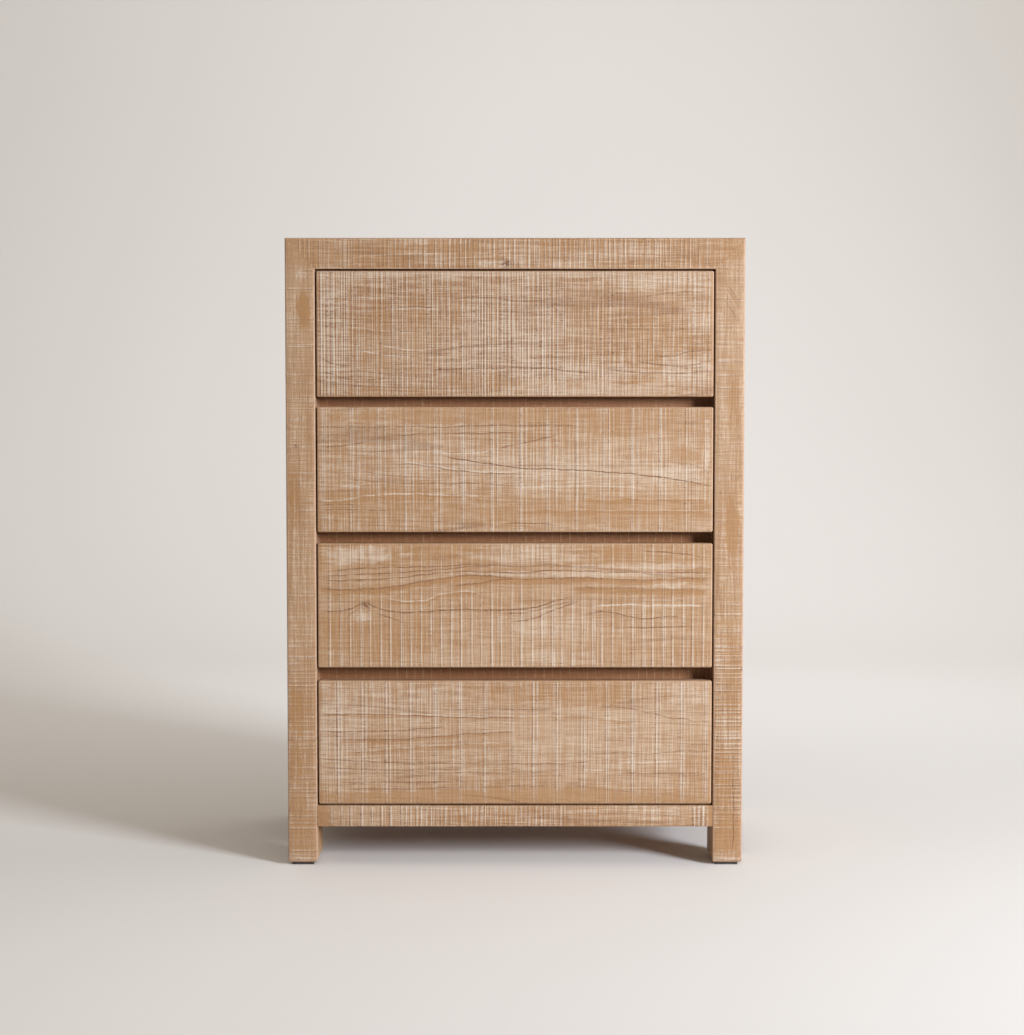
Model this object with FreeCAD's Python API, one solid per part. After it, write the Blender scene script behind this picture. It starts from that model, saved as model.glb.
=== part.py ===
import FreeCAD, Part
import os

# Four-drawer tallboy in rough-sawn wood, in millimetres.
# The front faces -Y and +Z is up. The origin lies on the floor, under the middle of the case.
# Places to the side are given for the right half (+X) and mirrored for the left half.

V = FreeCAD.Vector

# Case
case_width = 800
case_depth = 450
case_height = 1100
stile_width = 52
post_depth = 95
top_rail_height = 54
bottom_rail_height = 37
bottom_rail_lift = 69
bottom_rail_thickness = 25
case_panel_thickness = 20
case_arris_radius = 2.5
foot_chamfer = 3

# Thin panels in their grooves
back_panel_thickness = 6
back_panel_setback = 19
bottom_panel_thickness = 9
bottom_panel_drop = 6
panel_tongue = 6
groove_gap = 0.1

# Foot glides
glide_height = 5
glide_inset = 7
glide_chamfer = 1

# Joints between the drawers, from the top down
top_reveal = 3
upper_finger_gap = 17.5
middle_finger_gap = 19.5
lower_finger_gap = 23
bottom_reveal = 3
side_reveal = 2.5

# Rails behind the finger gaps
divider_recess = 40
divider_thickness = 25
divider_overlap = 12

# Drawers
front_thickness = 24
front_arris_radius = 3
box_lift = 14
box_drop = 26.5
box_board = 13
box_back_drop = 12
housing_depth = 8
drawer_bottom_thickness = 6
drawer_bottom_lift = 10
drawer_groove_depth = 6

# Telescopic runners
runner_height = 45
runner_depth = 12.7
runner_setback = 3
runner_rear_bearing = 22
box_past_runner = 13
steel_thickness = 1.2
outer_flange_depth = 9.5
member_gap = 0.4
flange_tip_gap = 0.5

# Runner screws
screw_radius = 1.75
screw_length = 10
screw_tip_length = 3
screw_tip_radius = 0.3
screw_head_radius = 3.5
screw_head_height = 1.6
screw_hole_gap = 0.15
post_screw_shares = (0.25, 0.75)
drawer_screw_shares = (0.06, 0.5, 0.94)

# Dowels and mitre splines
dowel_radius = 4
dowel_length = 36
dowel_hole_gap = 0.15
rail_dowel_shares = (0.27, 0.73)
side_panel_dowel_shares = (0.06, 0.35, 0.65, 0.94)
top_panel_dowel_shares = (-0.9, -0.45, 0, 0.45, 0.9)
spline_thickness = 4
spline_width = 24
spline_end_inset = 12

# Room past the end of a dowel or a screw, and slack when edges are picked by their place
hole_end_gap = 1
edge_slack = 0.05

# Pilot holes for a wall strap, in the back of the top rear rail
strap_hole_radius = 2
strap_hole_depth = 25
strap_hole_spacing = 400

# Planes that the pieces share
outer_x = case_width / 2
inner_x = outer_x - stile_width
front_y = -case_depth / 2
rear_y = case_depth / 2
front_post_back = front_y + post_depth
rear_post_front = rear_y - post_depth
top_z = case_height
top_rail_bottom = top_z - top_rail_height
bottom_rail_top = bottom_rail_lift + bottom_rail_height
bottom_panel_top = bottom_rail_top - bottom_panel_drop
bottom_panel_bottom = bottom_panel_top - bottom_panel_thickness
back_panel_rear = rear_y - back_panel_setback
back_panel_front = back_panel_rear - back_panel_thickness

finger_gaps = (upper_finger_gap, middle_finger_gap, lower_finger_gap)
drawer_count = len(finger_gaps) + 1
fronts_total = top_rail_bottom - top_reveal - bottom_reveal - bottom_rail_top - sum(finger_gaps)
front_height = fronts_total / drawer_count
box_side_height = front_height - box_lift - box_drop

# Planes of a drawer and its runners
front_back = front_y + front_thickness
front_half_width = inner_x - side_reveal
box_outer_x = inner_x - runner_depth
box_inner_x = box_outer_x - box_board
runner_front = front_back + runner_setback
runner_rear = rear_post_front + runner_rear_bearing
runner_length = runner_rear - runner_front
box_rear = runner_rear + box_past_runner
box_back_front = box_rear - box_board
divider_front = front_y + divider_recess
divider_back = divider_front + divider_thickness


def front_bottoms():
    """Heights of the undersides of the drawer fronts, from the top drawer down."""
    heights = []
    top = top_rail_bottom - top_reveal
    for gap in finger_gaps + (0,):
        heights.append(top - front_height)
        top = top - front_height - gap
    return heights


def block(x0, x1, y0, y1, z0, z1):
    """A box between two corners."""
    return Part.makeBox(x1 - x0, y1 - y0, z1 - z0, V(x0, y0, z0))


def prism(points, y0, y1):
    """A solid with an outline of (x, z) points, from y0 to y1."""
    corners = [V(x, y0, z) for x, z in points]
    face = Part.Face(Part.makePolygon(corners + corners[:1]))
    return face.extrude(V(0, y1 - y0, 0))


def mirrored(shape):
    """The same piece on the left side."""
    return shape.mirror(V(0, 0, 0), V(1, 0, 0))


def edges_between(shape, low, high):
    """Edges that lie wholly in the box from low to high, with a little slack."""
    slack = V(edge_slack, edge_slack, edge_slack)
    area = FreeCAD.BoundBox(low - slack, high + slack)
    return [edge for edge in shape.Edges if area.isInside(edge.BoundBox)]


def cut_where_met(shape, tools):
    """The shape less each tool whose box reaches it."""
    met = [tool for tool in tools if shape.BoundBox.intersect(tool.BoundBox)]
    return shape.cut(met) if met else shape


def along(middle, direction, radius, length):
    """A cylinder about its own middle."""
    return Part.makeCylinder(radius, length, middle - direction * (length / 2), direction)


# Dowels

def rail_end_sites():
    """Dowels at the right-hand ends of the cross rails, which run along X."""
    sites = []
    bottom_ys = (front_y + bottom_rail_thickness / 2, rear_y - bottom_rail_thickness / 2)
    for share in rail_dowel_shares:
        for y in bottom_ys:
            sites.append((V(inner_x, y, bottom_rail_lift + bottom_rail_height * share), V(1, 0, 0)))
        for low, high in divider_spans():
            middle_y = (divider_front + divider_back) / 2
            sites.append((V(inner_x, middle_y, low + (high - low) * share), V(1, 0, 0)))
    return sites


def side_sites():
    """Dowels at both ends of the right side rail and the right side panel, which run along Y."""
    sites = []
    for y in (front_post_back, rear_post_front):
        rail_x = outer_x - bottom_rail_thickness / 2
        for share in rail_dowel_shares:
            sites.append((V(rail_x, y, bottom_rail_lift + bottom_rail_height * share), V(0, 1, 0)))
        panel_x = outer_x - case_panel_thickness / 2
        for share in side_panel_dowel_shares:
            height = bottom_rail_top + (top_rail_bottom - bottom_rail_top) * share
            sites.append((V(panel_x, y, height), V(0, 1, 0)))
    return sites


def top_sites():
    """Dowels between the top panel and the two top rails."""
    z = top_z - case_panel_thickness / 2
    sites = []
    for y in (front_post_back, rear_post_front):
        sites += [(V(inner_x * share, y, z), V(0, 1, 0)) for share in top_panel_dowel_shares]
    return sites


def dowels(extra_radius, extra_length):
    """Every dowel of the case, or its hole when it is given the extra room."""
    radius = dowel_radius + extra_radius
    length = dowel_length + extra_length
    right = [along(spot, way, radius, length) for spot, way in rail_end_sites() + side_sites()]
    middle = [along(spot, way, radius, length) for spot, way in top_sites()]
    return right + [mirrored(dowel) for dowel in right] + middle


def splines(extra):
    """The loose tongue across each of the four mitres, or its slot when it is given the extra room."""
    along_mitre = V(stile_width, 0, top_rail_height).normalize()
    across_mitre = V(along_mitre.z, 0, -along_mitre.x)
    middle = V(outer_x - stile_width / 2, 0, top_z - top_rail_height / 2)
    thick = along_mitre * (spline_thickness / 2 + extra)
    wide = across_mitre * (spline_width / 2 + extra)
    corners = [middle + thick + wide, middle - thick + wide, middle - thick - wide, middle + thick - wide]
    outline = [(corner.x, corner.z) for corner in corners]
    inset = spline_end_inset - extra
    front = prism(outline, front_y + inset, front_post_back - inset)
    rear = prism(outline, rear_post_front + inset, rear_y - inset)
    return [front, rear, mirrored(front), mirrored(rear)]


# Runner screws

def screw(root, way):
    """A pan-head screw whose head bears at root and whose point goes the given way."""
    head = Part.makeCylinder(screw_head_radius, screw_head_height, root - way * screw_head_height, way)
    shank_length = screw_length - screw_tip_length
    shank = Part.makeCylinder(screw_radius, shank_length, root, way)
    tip = Part.makeCone(screw_radius, screw_tip_radius, screw_tip_length, root + way * shank_length, way)
    return head.fuse([shank, tip]).removeSplitter()


def screw_hole(root, way):
    """The hole that a screw goes into, through the steel and on past its point."""
    start = root - way * steel_thickness
    length = screw_length + steel_thickness + hole_end_gap
    return Part.makeCylinder(screw_radius + screw_hole_gap, length, start, way)


def runner_middle_z(front_bottom):
    return front_bottom + box_lift + box_side_height / 2


def post_screw_sites(front_bottom):
    """Screws of one right-hand outer member: two in the front post, one in the rear post."""
    reach = front_post_back - runner_front
    places = [runner_front + reach * share for share in post_screw_shares]
    places.append((rear_post_front + runner_rear) / 2)
    head_x = inner_x - steel_thickness
    return [(V(head_x, y, runner_middle_z(front_bottom)), V(1, 0, 0)) for y in places]


def drawer_screw_sites(front_bottom):
    """Screws of one right-hand inner member, into the drawer side."""
    places = [runner_front + runner_length * share for share in drawer_screw_shares]
    head_x = box_outer_x + steel_thickness
    return [(V(head_x, y, runner_middle_z(front_bottom)), V(-1, 0, 0)) for y in places]


# Case

def right_post(y0, y1, outer_y):
    """A right-hand post, mitred at the top, with its foot chamfered and its outer upright arris eased."""
    foot_outline = [(inner_x, glide_height), (outer_x, glide_height)]
    post = prism(foot_outline + [(outer_x, top_z), (inner_x, top_rail_bottom)], y0, y1)
    foot = edges_between(post, V(inner_x, y0, glide_height), V(outer_x, y1, glide_height))
    post = post.makeChamfer(foot_chamfer, foot)
    arris = edges_between(post, V(outer_x, outer_y, glide_height), V(outer_x, outer_y, top_z))
    return post.makeFillet(case_arris_radius, arris)


def back_panel_groove():
    """The groove for the back panel, all round the rear frame."""
    y0 = back_panel_front - groove_gap
    y1 = back_panel_rear + groove_gap
    reach_x = inner_x + panel_tongue + groove_gap
    low = bottom_rail_top - panel_tongue - groove_gap
    high = top_rail_bottom + panel_tongue + groove_gap
    return block(-reach_x, reach_x, y0, y1, low, high)


def bottom_panel_outline():
    """Half sizes of the bottom panel with its tongues, along X and Y."""
    half_x = outer_x - bottom_rail_thickness + panel_tongue
    half_y = rear_y - bottom_rail_thickness + panel_tongue
    return half_x, half_y


def bottom_panel_groove():
    """The groove for the bottom panel, all round the bottom rails."""
    half_x, half_y = bottom_panel_outline()
    x = half_x + groove_gap
    y = half_y + groove_gap
    return block(-x, x, -y, y, bottom_panel_bottom - groove_gap, bottom_panel_top + groove_gap)


def strap_holes():
    """Two blind holes for the screws of a wall strap."""
    z = top_z - top_rail_height / 2
    mouths = [V(x, rear_y, z) for x in (-strap_hole_spacing / 2, strap_hole_spacing / 2)]
    return [Part.makeCylinder(strap_hole_radius, strap_hole_depth, mouth, V(0, -1, 0)) for mouth in mouths]


def top_rail(y0, y1, outer_y):
    """A top rail with a mitre at each end and its outer top arris eased."""
    outline = [(-outer_x, top_z), (outer_x, top_z), (inner_x, top_rail_bottom), (-inner_x, top_rail_bottom)]
    rail = prism(outline, y0, y1)
    arris = edges_between(rail, V(-outer_x, outer_y, top_z), V(outer_x, outer_y, top_z))
    return rail.makeFillet(case_arris_radius, arris)


def top_panel():
    panel_z = top_z - case_panel_thickness
    panel_x = outer_x - case_panel_thickness
    outline = [(-outer_x, top_z), (outer_x, top_z), (panel_x, panel_z), (-panel_x, panel_z)]
    return prism(outline, front_post_back, rear_post_front)


def right_side_panel():
    panel_x = outer_x - case_panel_thickness
    mitre_foot = top_z - case_panel_thickness
    inner_edge = [(panel_x, mitre_foot), (panel_x, bottom_rail_top)]
    outline = inner_edge + [(outer_x, bottom_rail_top), (outer_x, top_z)]
    return prism(outline, front_post_back, rear_post_front)


def right_side_rail():
    """A bottom rail along the side, grooved for the bottom panel."""
    rail_x = outer_x - bottom_rail_thickness
    rail = block(rail_x, outer_x, front_post_back, rear_post_front, bottom_rail_lift, bottom_rail_top)
    return rail.cut(bottom_panel_groove())


def cross_rail(y0):
    """A bottom rail between two posts, grooved for the bottom panel."""
    y1 = y0 + bottom_rail_thickness
    rail = block(-inner_x, inner_x, y0, y1, bottom_rail_lift, bottom_rail_top)
    return rail.cut(bottom_panel_groove())


def bottom_panel():
    """The bottom panel with its corners cut away round the posts."""
    half_x, half_y = bottom_panel_outline()
    panel = block(-half_x, half_x, -half_y, half_y, bottom_panel_bottom, bottom_panel_top)
    notch_x = inner_x - groove_gap
    front_notch = front_post_back + groove_gap
    rear_notch = rear_post_front - groove_gap
    for y0, y1 in ((front_y, front_notch), (rear_notch, rear_y)):
        notch = block(notch_x, outer_x, y0, y1, bottom_panel_bottom, bottom_panel_top)
        panel = panel.cut([notch, mirrored(notch)])
    return panel


def back_panel():
    x = inner_x + panel_tongue
    low = bottom_rail_top - panel_tongue
    high = top_rail_bottom + panel_tongue
    return block(-x, x, back_panel_front, back_panel_rear, low, high)


def divider_spans():
    """Bottom and top of each divider rail, from the top down."""
    spans = []
    for bottom, gap in zip(front_bottoms(), finger_gaps):
        spans.append((bottom - gap - divider_overlap, bottom + divider_overlap))
    return spans


def divider_rail(span):
    return block(-inner_x, inner_x, divider_front, divider_back, span[0], span[1])


def right_glide(y0, y1):
    """The pad under a right-hand post, with its lower edges chamfered."""
    x0 = inner_x + glide_inset
    x1 = outer_x - glide_inset
    pad = block(x0, x1, y0 + glide_inset, y1 - glide_inset, 0, glide_height)
    sole = edges_between(pad, V(x0, y0, 0), V(x1, y1, 0))
    return pad.makeChamfer(glide_chamfer, sole)


# Runners, as channels along Y

def channel(web_x, tip_x, half_height, y0, y1):
    """A channel with its web's outer face at web_x and its flanges ending at tip_x."""
    inward = steel_thickness if tip_x > web_x else -steel_thickness
    body = [min(web_x, tip_x), max(web_x, tip_x)]
    hollow = sorted((web_x + inward, tip_x + inward))
    inner_half = half_height - steel_thickness
    solid = block(body[0], body[1], y0, y1, -half_height, half_height)
    return solid.cut(block(hollow[0], hollow[1], y0, y1, -inner_half, inner_half))


def runner_half_heights():
    """Half heights of the outer, middle and inner members, each nested in the one before."""
    outer = runner_height / 2
    middle = outer - steel_thickness - member_gap
    inner = middle - steel_thickness - member_gap
    return outer, middle, inner


def middle_web_x():
    """The face of the middle member that looks at the post."""
    return inner_x - steel_thickness - screw_head_height - member_gap


def right_outer_member(front_bottom):
    half = runner_half_heights()[0]
    member = channel(inner_x, inner_x - outer_flange_depth, half, runner_front, runner_rear)
    member.translate(V(0, 0, runner_middle_z(front_bottom)))
    holes = [screw_hole(spot, way) for spot, way in post_screw_sites(front_bottom)]
    return member.cut(holes)


def right_middle_member(front_bottom):
    half = runner_half_heights()[1]
    tip_x = box_outer_x + steel_thickness + flange_tip_gap
    member = channel(middle_web_x(), tip_x, half, runner_front, runner_rear)
    member.translate(V(0, 0, runner_middle_z(front_bottom)))
    return member


def right_inner_member(front_bottom):
    half = runner_half_heights()[2]
    tip_x = middle_web_x() - steel_thickness - flange_tip_gap
    member = channel(box_outer_x, tip_x, half, runner_front, runner_rear)
    member.translate(V(0, 0, runner_middle_z(front_bottom)))
    holes = [screw_hole(spot, way) for spot, way in drawer_screw_sites(front_bottom)]
    return member.cut(holes)


# Drawers

def drawer_bottom_span(front_bottom):
    low = front_bottom + box_lift + drawer_bottom_lift
    return low, low + drawer_bottom_thickness


def drawer_bottom(front_bottom):
    """The drawer's bottom, in a groove of the front and of both sides."""
    low, high = drawer_bottom_span(front_bottom)
    x = box_inner_x + drawer_groove_depth
    return block(-x, x, front_back - drawer_groove_depth, box_rear, low, high)


def drawer_bottom_groove(front_bottom):
    low, high = drawer_bottom_span(front_bottom)
    x = box_inner_x + drawer_groove_depth + groove_gap
    y0 = front_back - drawer_groove_depth - groove_gap
    return block(-x, x, y0, box_rear, low - groove_gap, high + groove_gap)


def right_drawer_side(front_bottom):
    """The right side, housed in the front and grooved for the bottom."""
    low = front_bottom + box_lift
    high = low + box_side_height
    side = block(box_inner_x, box_outer_x, front_back - housing_depth, box_rear, low, high)
    holes = [screw_hole(spot, way) for spot, way in drawer_screw_sites(front_bottom)]
    return side.cut([drawer_bottom_groove(front_bottom)] + holes)


def side_housing(front_bottom):
    """The housing in the front for the right side."""
    low = front_bottom + box_lift - groove_gap
    high = front_bottom + box_lift + box_side_height + groove_gap
    y0 = front_back - housing_depth - groove_gap
    return block(box_inner_x - groove_gap, box_outer_x + groove_gap, y0, front_back, low, high)


def drawer_front(front_bottom):
    """The show front, with rounded arrises and corners, housed for the sides and grooved for the bottom."""
    top = front_bottom + front_height
    x = front_half_width
    front = block(-x, x, front_y, front_back, front_bottom, top)
    face = edges_between(front, V(-x, front_y, front_bottom), V(x, front_y, top))
    corners = [edge for edge in front.Edges if abs(edge.BoundBox.YLength - front_thickness) < edge_slack]
    front = front.makeFillet(front_arris_radius, face + corners)
    housing = side_housing(front_bottom)
    return front.cut([housing, mirrored(housing), drawer_bottom_groove(front_bottom)])


def drawer_back(front_bottom):
    """The back, standing on the bottom between the sides."""
    low = drawer_bottom_span(front_bottom)[1]
    high = front_bottom + box_lift + box_side_height - box_back_drop
    return block(-box_inner_x, box_inner_x, box_back_front, box_rear, low, high)


def both_sides(right_shapes):
    """Right-hand shapes with their left-hand twins, as one group of separate solids."""
    return Part.makeCompound(right_shapes + [mirrored(shape) for shape in right_shapes])


def case_pieces():
    """The wooden pieces of the case before they are drilled and slotted."""
    front_post = right_post(front_y, front_post_back, front_y)
    rear_post = right_post(rear_post_front, rear_y, rear_y)
    side_rail = right_side_rail()
    pieces = {
        "right_front_post": front_post,
        "left_front_post": mirrored(front_post),
        "right_rear_post": rear_post,
        "left_rear_post": mirrored(rear_post),
        "top_front_rail": top_rail(front_y, front_post_back, front_y),
        "top_rear_rail": top_rail(rear_post_front, rear_y, rear_y).cut(strap_holes()),
        "top_panel": top_panel(),
        "right_side_panel": right_side_panel(),
        "left_side_panel": mirrored(right_side_panel()),
        "right_side_rail": side_rail,
        "left_side_rail": mirrored(side_rail),
        "front_bottom_rail": cross_rail(front_y),
        "rear_bottom_rail": cross_rail(rear_y - bottom_rail_thickness),
    }
    for number, span in enumerate(divider_spans(), 1):
        pieces[f"divider_rail_{number}"] = divider_rail(span)
    return pieces


def case_cuts():
    """What is cut from each wooden piece of the case that it meets."""
    screws = [screw_hole(*site) for bottom in front_bottoms() for site in post_screw_sites(bottom)]
    cuts = dowels(dowel_hole_gap, hole_end_gap * 2) + splines(dowel_hole_gap)
    cuts += screws + [mirrored(hole) for hole in screws]
    return cuts + [back_panel_groove()]


def case_nodes():
    cuts = case_cuts()
    nodes = {name: cut_where_met(piece, cuts) for name, piece in case_pieces().items()}
    outers = [right_outer_member(bottom) for bottom in front_bottoms()]
    glides = [right_glide(front_y, front_post_back), right_glide(rear_post_front, rear_y)]
    screws = [screw(*site) for bottom in front_bottoms() for site in post_screw_sites(bottom)]
    nodes["bottom_panel"] = bottom_panel()
    nodes["back_panel"] = back_panel()
    nodes["foot_glides"] = both_sides(glides)
    nodes["rail_dowels"] = Part.makeCompound(dowels(0, 0))
    nodes["mitre_splines"] = Part.makeCompound(splines(0))
    nodes["right_outer_runners"] = Part.makeCompound(outers)
    nodes["left_outer_runners"] = Part.makeCompound([mirrored(outer) for outer in outers])
    nodes["runner_screws"] = both_sides(screws)
    return nodes


def drawer_nodes(number, front_bottom):
    """One drawer and the middle members of its two runners."""
    side = right_drawer_side(front_bottom)
    middle = right_middle_member(front_bottom)
    screws = [screw(*site) for site in drawer_screw_sites(front_bottom)]
    return {
        f"drawer_{number}_front": drawer_front(front_bottom),
        f"drawer_{number}_right_side": side,
        f"drawer_{number}_left_side": mirrored(side),
        f"drawer_{number}_back": drawer_back(front_bottom),
        f"drawer_{number}_bottom": drawer_bottom(front_bottom),
        f"drawer_{number}_inner_runners": both_sides([right_inner_member(front_bottom)]),
        f"drawer_{number}_screws": both_sides(screws),
        f"runner_{number}_right_middle": middle,
        f"runner_{number}_left_middle": mirrored(middle),
    }


nodes = case_nodes()
for number, front_bottom in enumerate(front_bottoms(), 1):
    nodes.update(drawer_nodes(number, front_bottom))

os.makedirs("parts", exist_ok=True)
for name, shape in nodes.items():
    shape.exportStep(os.path.join("parts", name + ".step"))
print(len(nodes), "nodes")
print("Each drawer front is", round(front_height, 2), "mm high, its box side", round(box_side_height, 2))
print("Each runner is", round(runner_length, 2), "mm long")
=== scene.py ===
# %% [markdown]
# # A whitewashed tallboy, dressed piece by piece
# The construction comes from the CAD model, which is loaded as a fixed frame: every board, runner and
# screw is already at its place and rides on its body. This lesson gives the pieces their looks.
# The show wood is rough-sawn, so its boards are modelled again here with the saw's ridges in the mesh.
# The pieces behind it keep their CAD shapes, and each one has its own finish.

# %% Load the frame and note its size
import math
import random
import bpy
import numpy as np
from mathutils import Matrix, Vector


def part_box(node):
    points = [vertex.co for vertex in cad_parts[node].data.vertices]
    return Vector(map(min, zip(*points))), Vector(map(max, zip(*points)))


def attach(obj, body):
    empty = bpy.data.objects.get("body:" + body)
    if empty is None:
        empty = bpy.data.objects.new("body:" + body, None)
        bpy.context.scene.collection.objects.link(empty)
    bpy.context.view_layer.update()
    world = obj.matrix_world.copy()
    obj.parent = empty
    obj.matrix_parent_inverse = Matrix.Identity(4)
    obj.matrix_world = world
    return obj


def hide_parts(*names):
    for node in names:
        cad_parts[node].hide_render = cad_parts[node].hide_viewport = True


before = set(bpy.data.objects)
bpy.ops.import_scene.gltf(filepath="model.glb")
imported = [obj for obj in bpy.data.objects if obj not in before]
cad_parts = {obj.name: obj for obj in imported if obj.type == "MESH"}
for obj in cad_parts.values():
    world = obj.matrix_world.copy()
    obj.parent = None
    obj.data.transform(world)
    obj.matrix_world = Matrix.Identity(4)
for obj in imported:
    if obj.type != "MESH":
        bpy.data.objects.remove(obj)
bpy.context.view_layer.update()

# %% [markdown]
# ## The camera
# The photograph is taken square on, from 3.4 m before the show face, a little above drawer height.
# A long lens keeps the sides hidden. The camera tips down by about three degrees, so the uprights
# draw together very slightly towards the floor, as they do in the photograph.

# %% Camera
camera_data = bpy.data.cameras.new("camera")
camera_data.sensor_width = 36
camera_data.lens = 67.5
camera = bpy.data.objects.new("camera", camera_data)
camera.location = (-0.0053, -3.6088, 0.7999)
camera.rotation_euler = (math.radians(86.859), 0, 0)
bpy.context.scene.collection.objects.link(camera)
bpy.context.scene.camera = camera
print("camera at", [round(part, 3) for part in camera.location])

# %% [markdown]
# ## Colours
# Colours are easiest to judge as they look on the screen, so they are written as screen values from
# 0 to 255. The shader wants linear light, and this helper turns one into the other.

# %% Screen colours
def paint(red, green, blue):
    """A screen colour as linear light, with full opacity."""
    linear = [((part / 255 + 0.055) / 1.055) ** 2.4 for part in (red, green, blue)]
    return (*linear, 1.0)


orange_wood = paint(156, 118, 80)
pale_wood = paint(171, 140, 109)
# the dark brown of grain lines, also used as painted shade in the saw pits
grain_and_pit_shade_brown = paint(108, 71, 48)
wash_cream = paint(200, 184, 166)
arris_wood = paint(192, 160, 139)
print("show wood runs from", orange_wood[:3], "to", pale_wood[:3])

# %% [markdown]
# ## Nodes, one step at a time
# A finish is a chain of small steps: noise, a threshold, a mix. Each helper adds one step to the tree
# at hand and gives back its output, so that the finishes below read from top to bottom like a recipe.
# The bare numbers in the recipes are judged shares of 0 to 1, or counts per metre.

# %% Helpers for shader nodes
tree = None


def work_on(chosen):
    """Makes this the tree at hand, to which the helpers add their nodes."""
    global tree
    tree = chosen


def feed(node, feeds):
    """Each feed is a value for one of the node's inputs, or an output to link to it."""
    for place, value in feeds.items():
        if isinstance(value, bpy.types.NodeSocket):
            tree.links.new(value, node.inputs[place])
        else:
            node.inputs[place].default_value = value


def step(kind, feeds, **settings):
    """Adds a shader node with its settings and its feeds."""
    made = tree.nodes.new("ShaderNode" + kind)
    for name, value in settings.items():
        setattr(made, name, value)
    feed(made, feeds)
    return made


def calc(operation, first, second=0.0):
    return step("Math", {0: first, 1: second}, operation=operation).outputs[0]


def vector_calc(operation, first, second=(0, 0, 0)):
    """Arithmetic with vectors; the length is a number."""
    made = step("VectorMath", {0: first, 1: second}, operation=operation)
    return made.outputs["Value" if operation == "LENGTH" else "Vector"]


def chain(operation, parts):
    """Takes the first part and the second, then the result and the third, and so on."""
    result = parts[0]
    for part in parts[1:]:
        result = calc(operation, result, part)
    return result


def product(*parts):
    return chain("MULTIPLY", parts)


def total(*parts):
    return chain("ADD", parts)


def fade(value, start, stop, low=0.0, high=1.0):
    """Goes smoothly from low to high while the value goes from start to stop."""
    feeds = {0: value, 1: start, 2: stop, 3: low, 4: high}
    return step("MapRange", feeds, interpolation_type="SMOOTHSTEP").outputs[0]


def clamp(value, high=1.0):
    return step("Clamp", {0: value, 1: 0.0, 2: high}).outputs[0]


def mix(share, first, second):
    """A colour between two others."""
    return step("Mix", {0: share, 6: first, 7: second}, data_type="RGBA").outputs[2]


def cloud(where, counts, detail=2.0, rough=0.5):
    """Noise with its own number of features per metre along each direction."""
    scaled = vector_calc("MULTIPLY", where, counts)
    feeds = {"Vector": scaled, "Scale": 1.0, "Detail": detail, "Roughness": rough}
    return step("TexNoise", feeds).outputs[0]


def split(vector):
    return step("SeparateXYZ", {0: vector}).outputs


def join(x, y, z):
    return step("CombineXYZ", {0: x, 1: y, 2: z}).outputs[0]


# %% [markdown]
# ## Node groups
# An effect that several finishes share is built once as a group with named inputs and outputs.
# Each group gives out only masks and colours; the shader itself stays in the material. Inputs are
# listed with their usual value, which also tells their kind: a number, a vector or a colour.

# %% Helpers for node groups
ORIGIN = (0, 0, 0)
SOCKETS = {1: "NodeSocketFloat", 3: "NodeSocketVector", 4: "NodeSocketColor"}


def start_group(name, inputs, outputs):
    """A new group to work on, its input sockets inside and its output sockets inside."""
    group = bpy.data.node_groups.new(name, "ShaderNodeTree")
    for title, value in inputs.items():
        parts = len(value) if isinstance(value, tuple) else 1
        socket = group.interface.new_socket(title, in_out="INPUT", socket_type=SOCKETS[parts])
        socket.default_value = value
    for title in outputs:
        parts = 4 if title == "Colour" else 1
        group.interface.new_socket(title, in_out="OUTPUT", socket_type=SOCKETS[parts])
    work_on(group)
    entry = group.nodes.new("NodeGroupInput").outputs
    leave = group.nodes.new("NodeGroupOutput")
    return group, entry, leave


def use(group, feeds):
    """Places a group in the tree at hand, and gives back its outputs."""
    made = tree.nodes.new("ShaderNodeGroup")
    made.node_tree = group
    feed(made, feeds)
    return made.outputs


# %% [markdown]
# ### Fibres
# Rough timber shows two sets of fine marks that cross like threads in linen. Streaks follow the
# fibres, and finer scratches follow the saw's teeth across them. Both are noise, stretched far more
# one way than the other. Flecks are the short dark pits where the two meet.

# %% Fibres group
fibres, entry, leave = start_group("fibres", {"Board": ORIGIN}, ("Streaks", "Scratches", "Flecks"))
streaks = cloud(entry["Board"], (14, 330, 330), 3, 0.6)
scratches = cloud(entry["Board"], (430, 16, 16), 2, 0.6)
flecks = cloud(entry["Board"], (120, 460, 460), 2, 0.5)
feed(leave, {
    "Streaks": fade(streaks, 0.36, 0.64),
    "Scratches": fade(scratches, 0.36, 0.64),
    "Flecks": fade(flecks, 0.58, 0.72),
})
print("group", fibres.name)

# %% [markdown]
# ### Growth lines
# Flat-sawn boards show the tree's rings as long, thin, dark lines that flow round each other. Slow
# noise, stretched along the board, is cut into thin contour lines, as on a map. Another slow noise
# gives the broad change of tone between early and late wood.

# %% Growth lines group
inputs = {"Board": ORIGIN, "Lines": 9.0, "Shift": 0.0}
growth, entry, leave = start_group("growth_lines", inputs, ("Line", "Tone"))
place = split(entry["Board"])
here = join(calc("ADD", place[0], entry["Shift"]), place[1], place[2])
slow = cloud(here, (0.5, 9, 9), 1.5, 0.45)
wave = calc("SINE", product(slow, entry["Lines"], 2 * math.pi))
presence = fade(cloud(here, (3, 20, 20), 2, 0.5), 0.42, 0.62)
tone = cloud(here, (1.6, 9, 9), 3, 0.55)
feed(leave, {"Line": product(fade(wave, 0.96, 1.0), presence), "Tone": fade(tone, 0.32, 0.68)})
print("group", growth.name)

# %% [markdown]
# ### Worn arris
# Handling and sanding take the whitewash off the long edges first. Near an edge two of the three
# distances to the board's faces are small at once, so the middle one of the three makes the mask.

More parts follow.
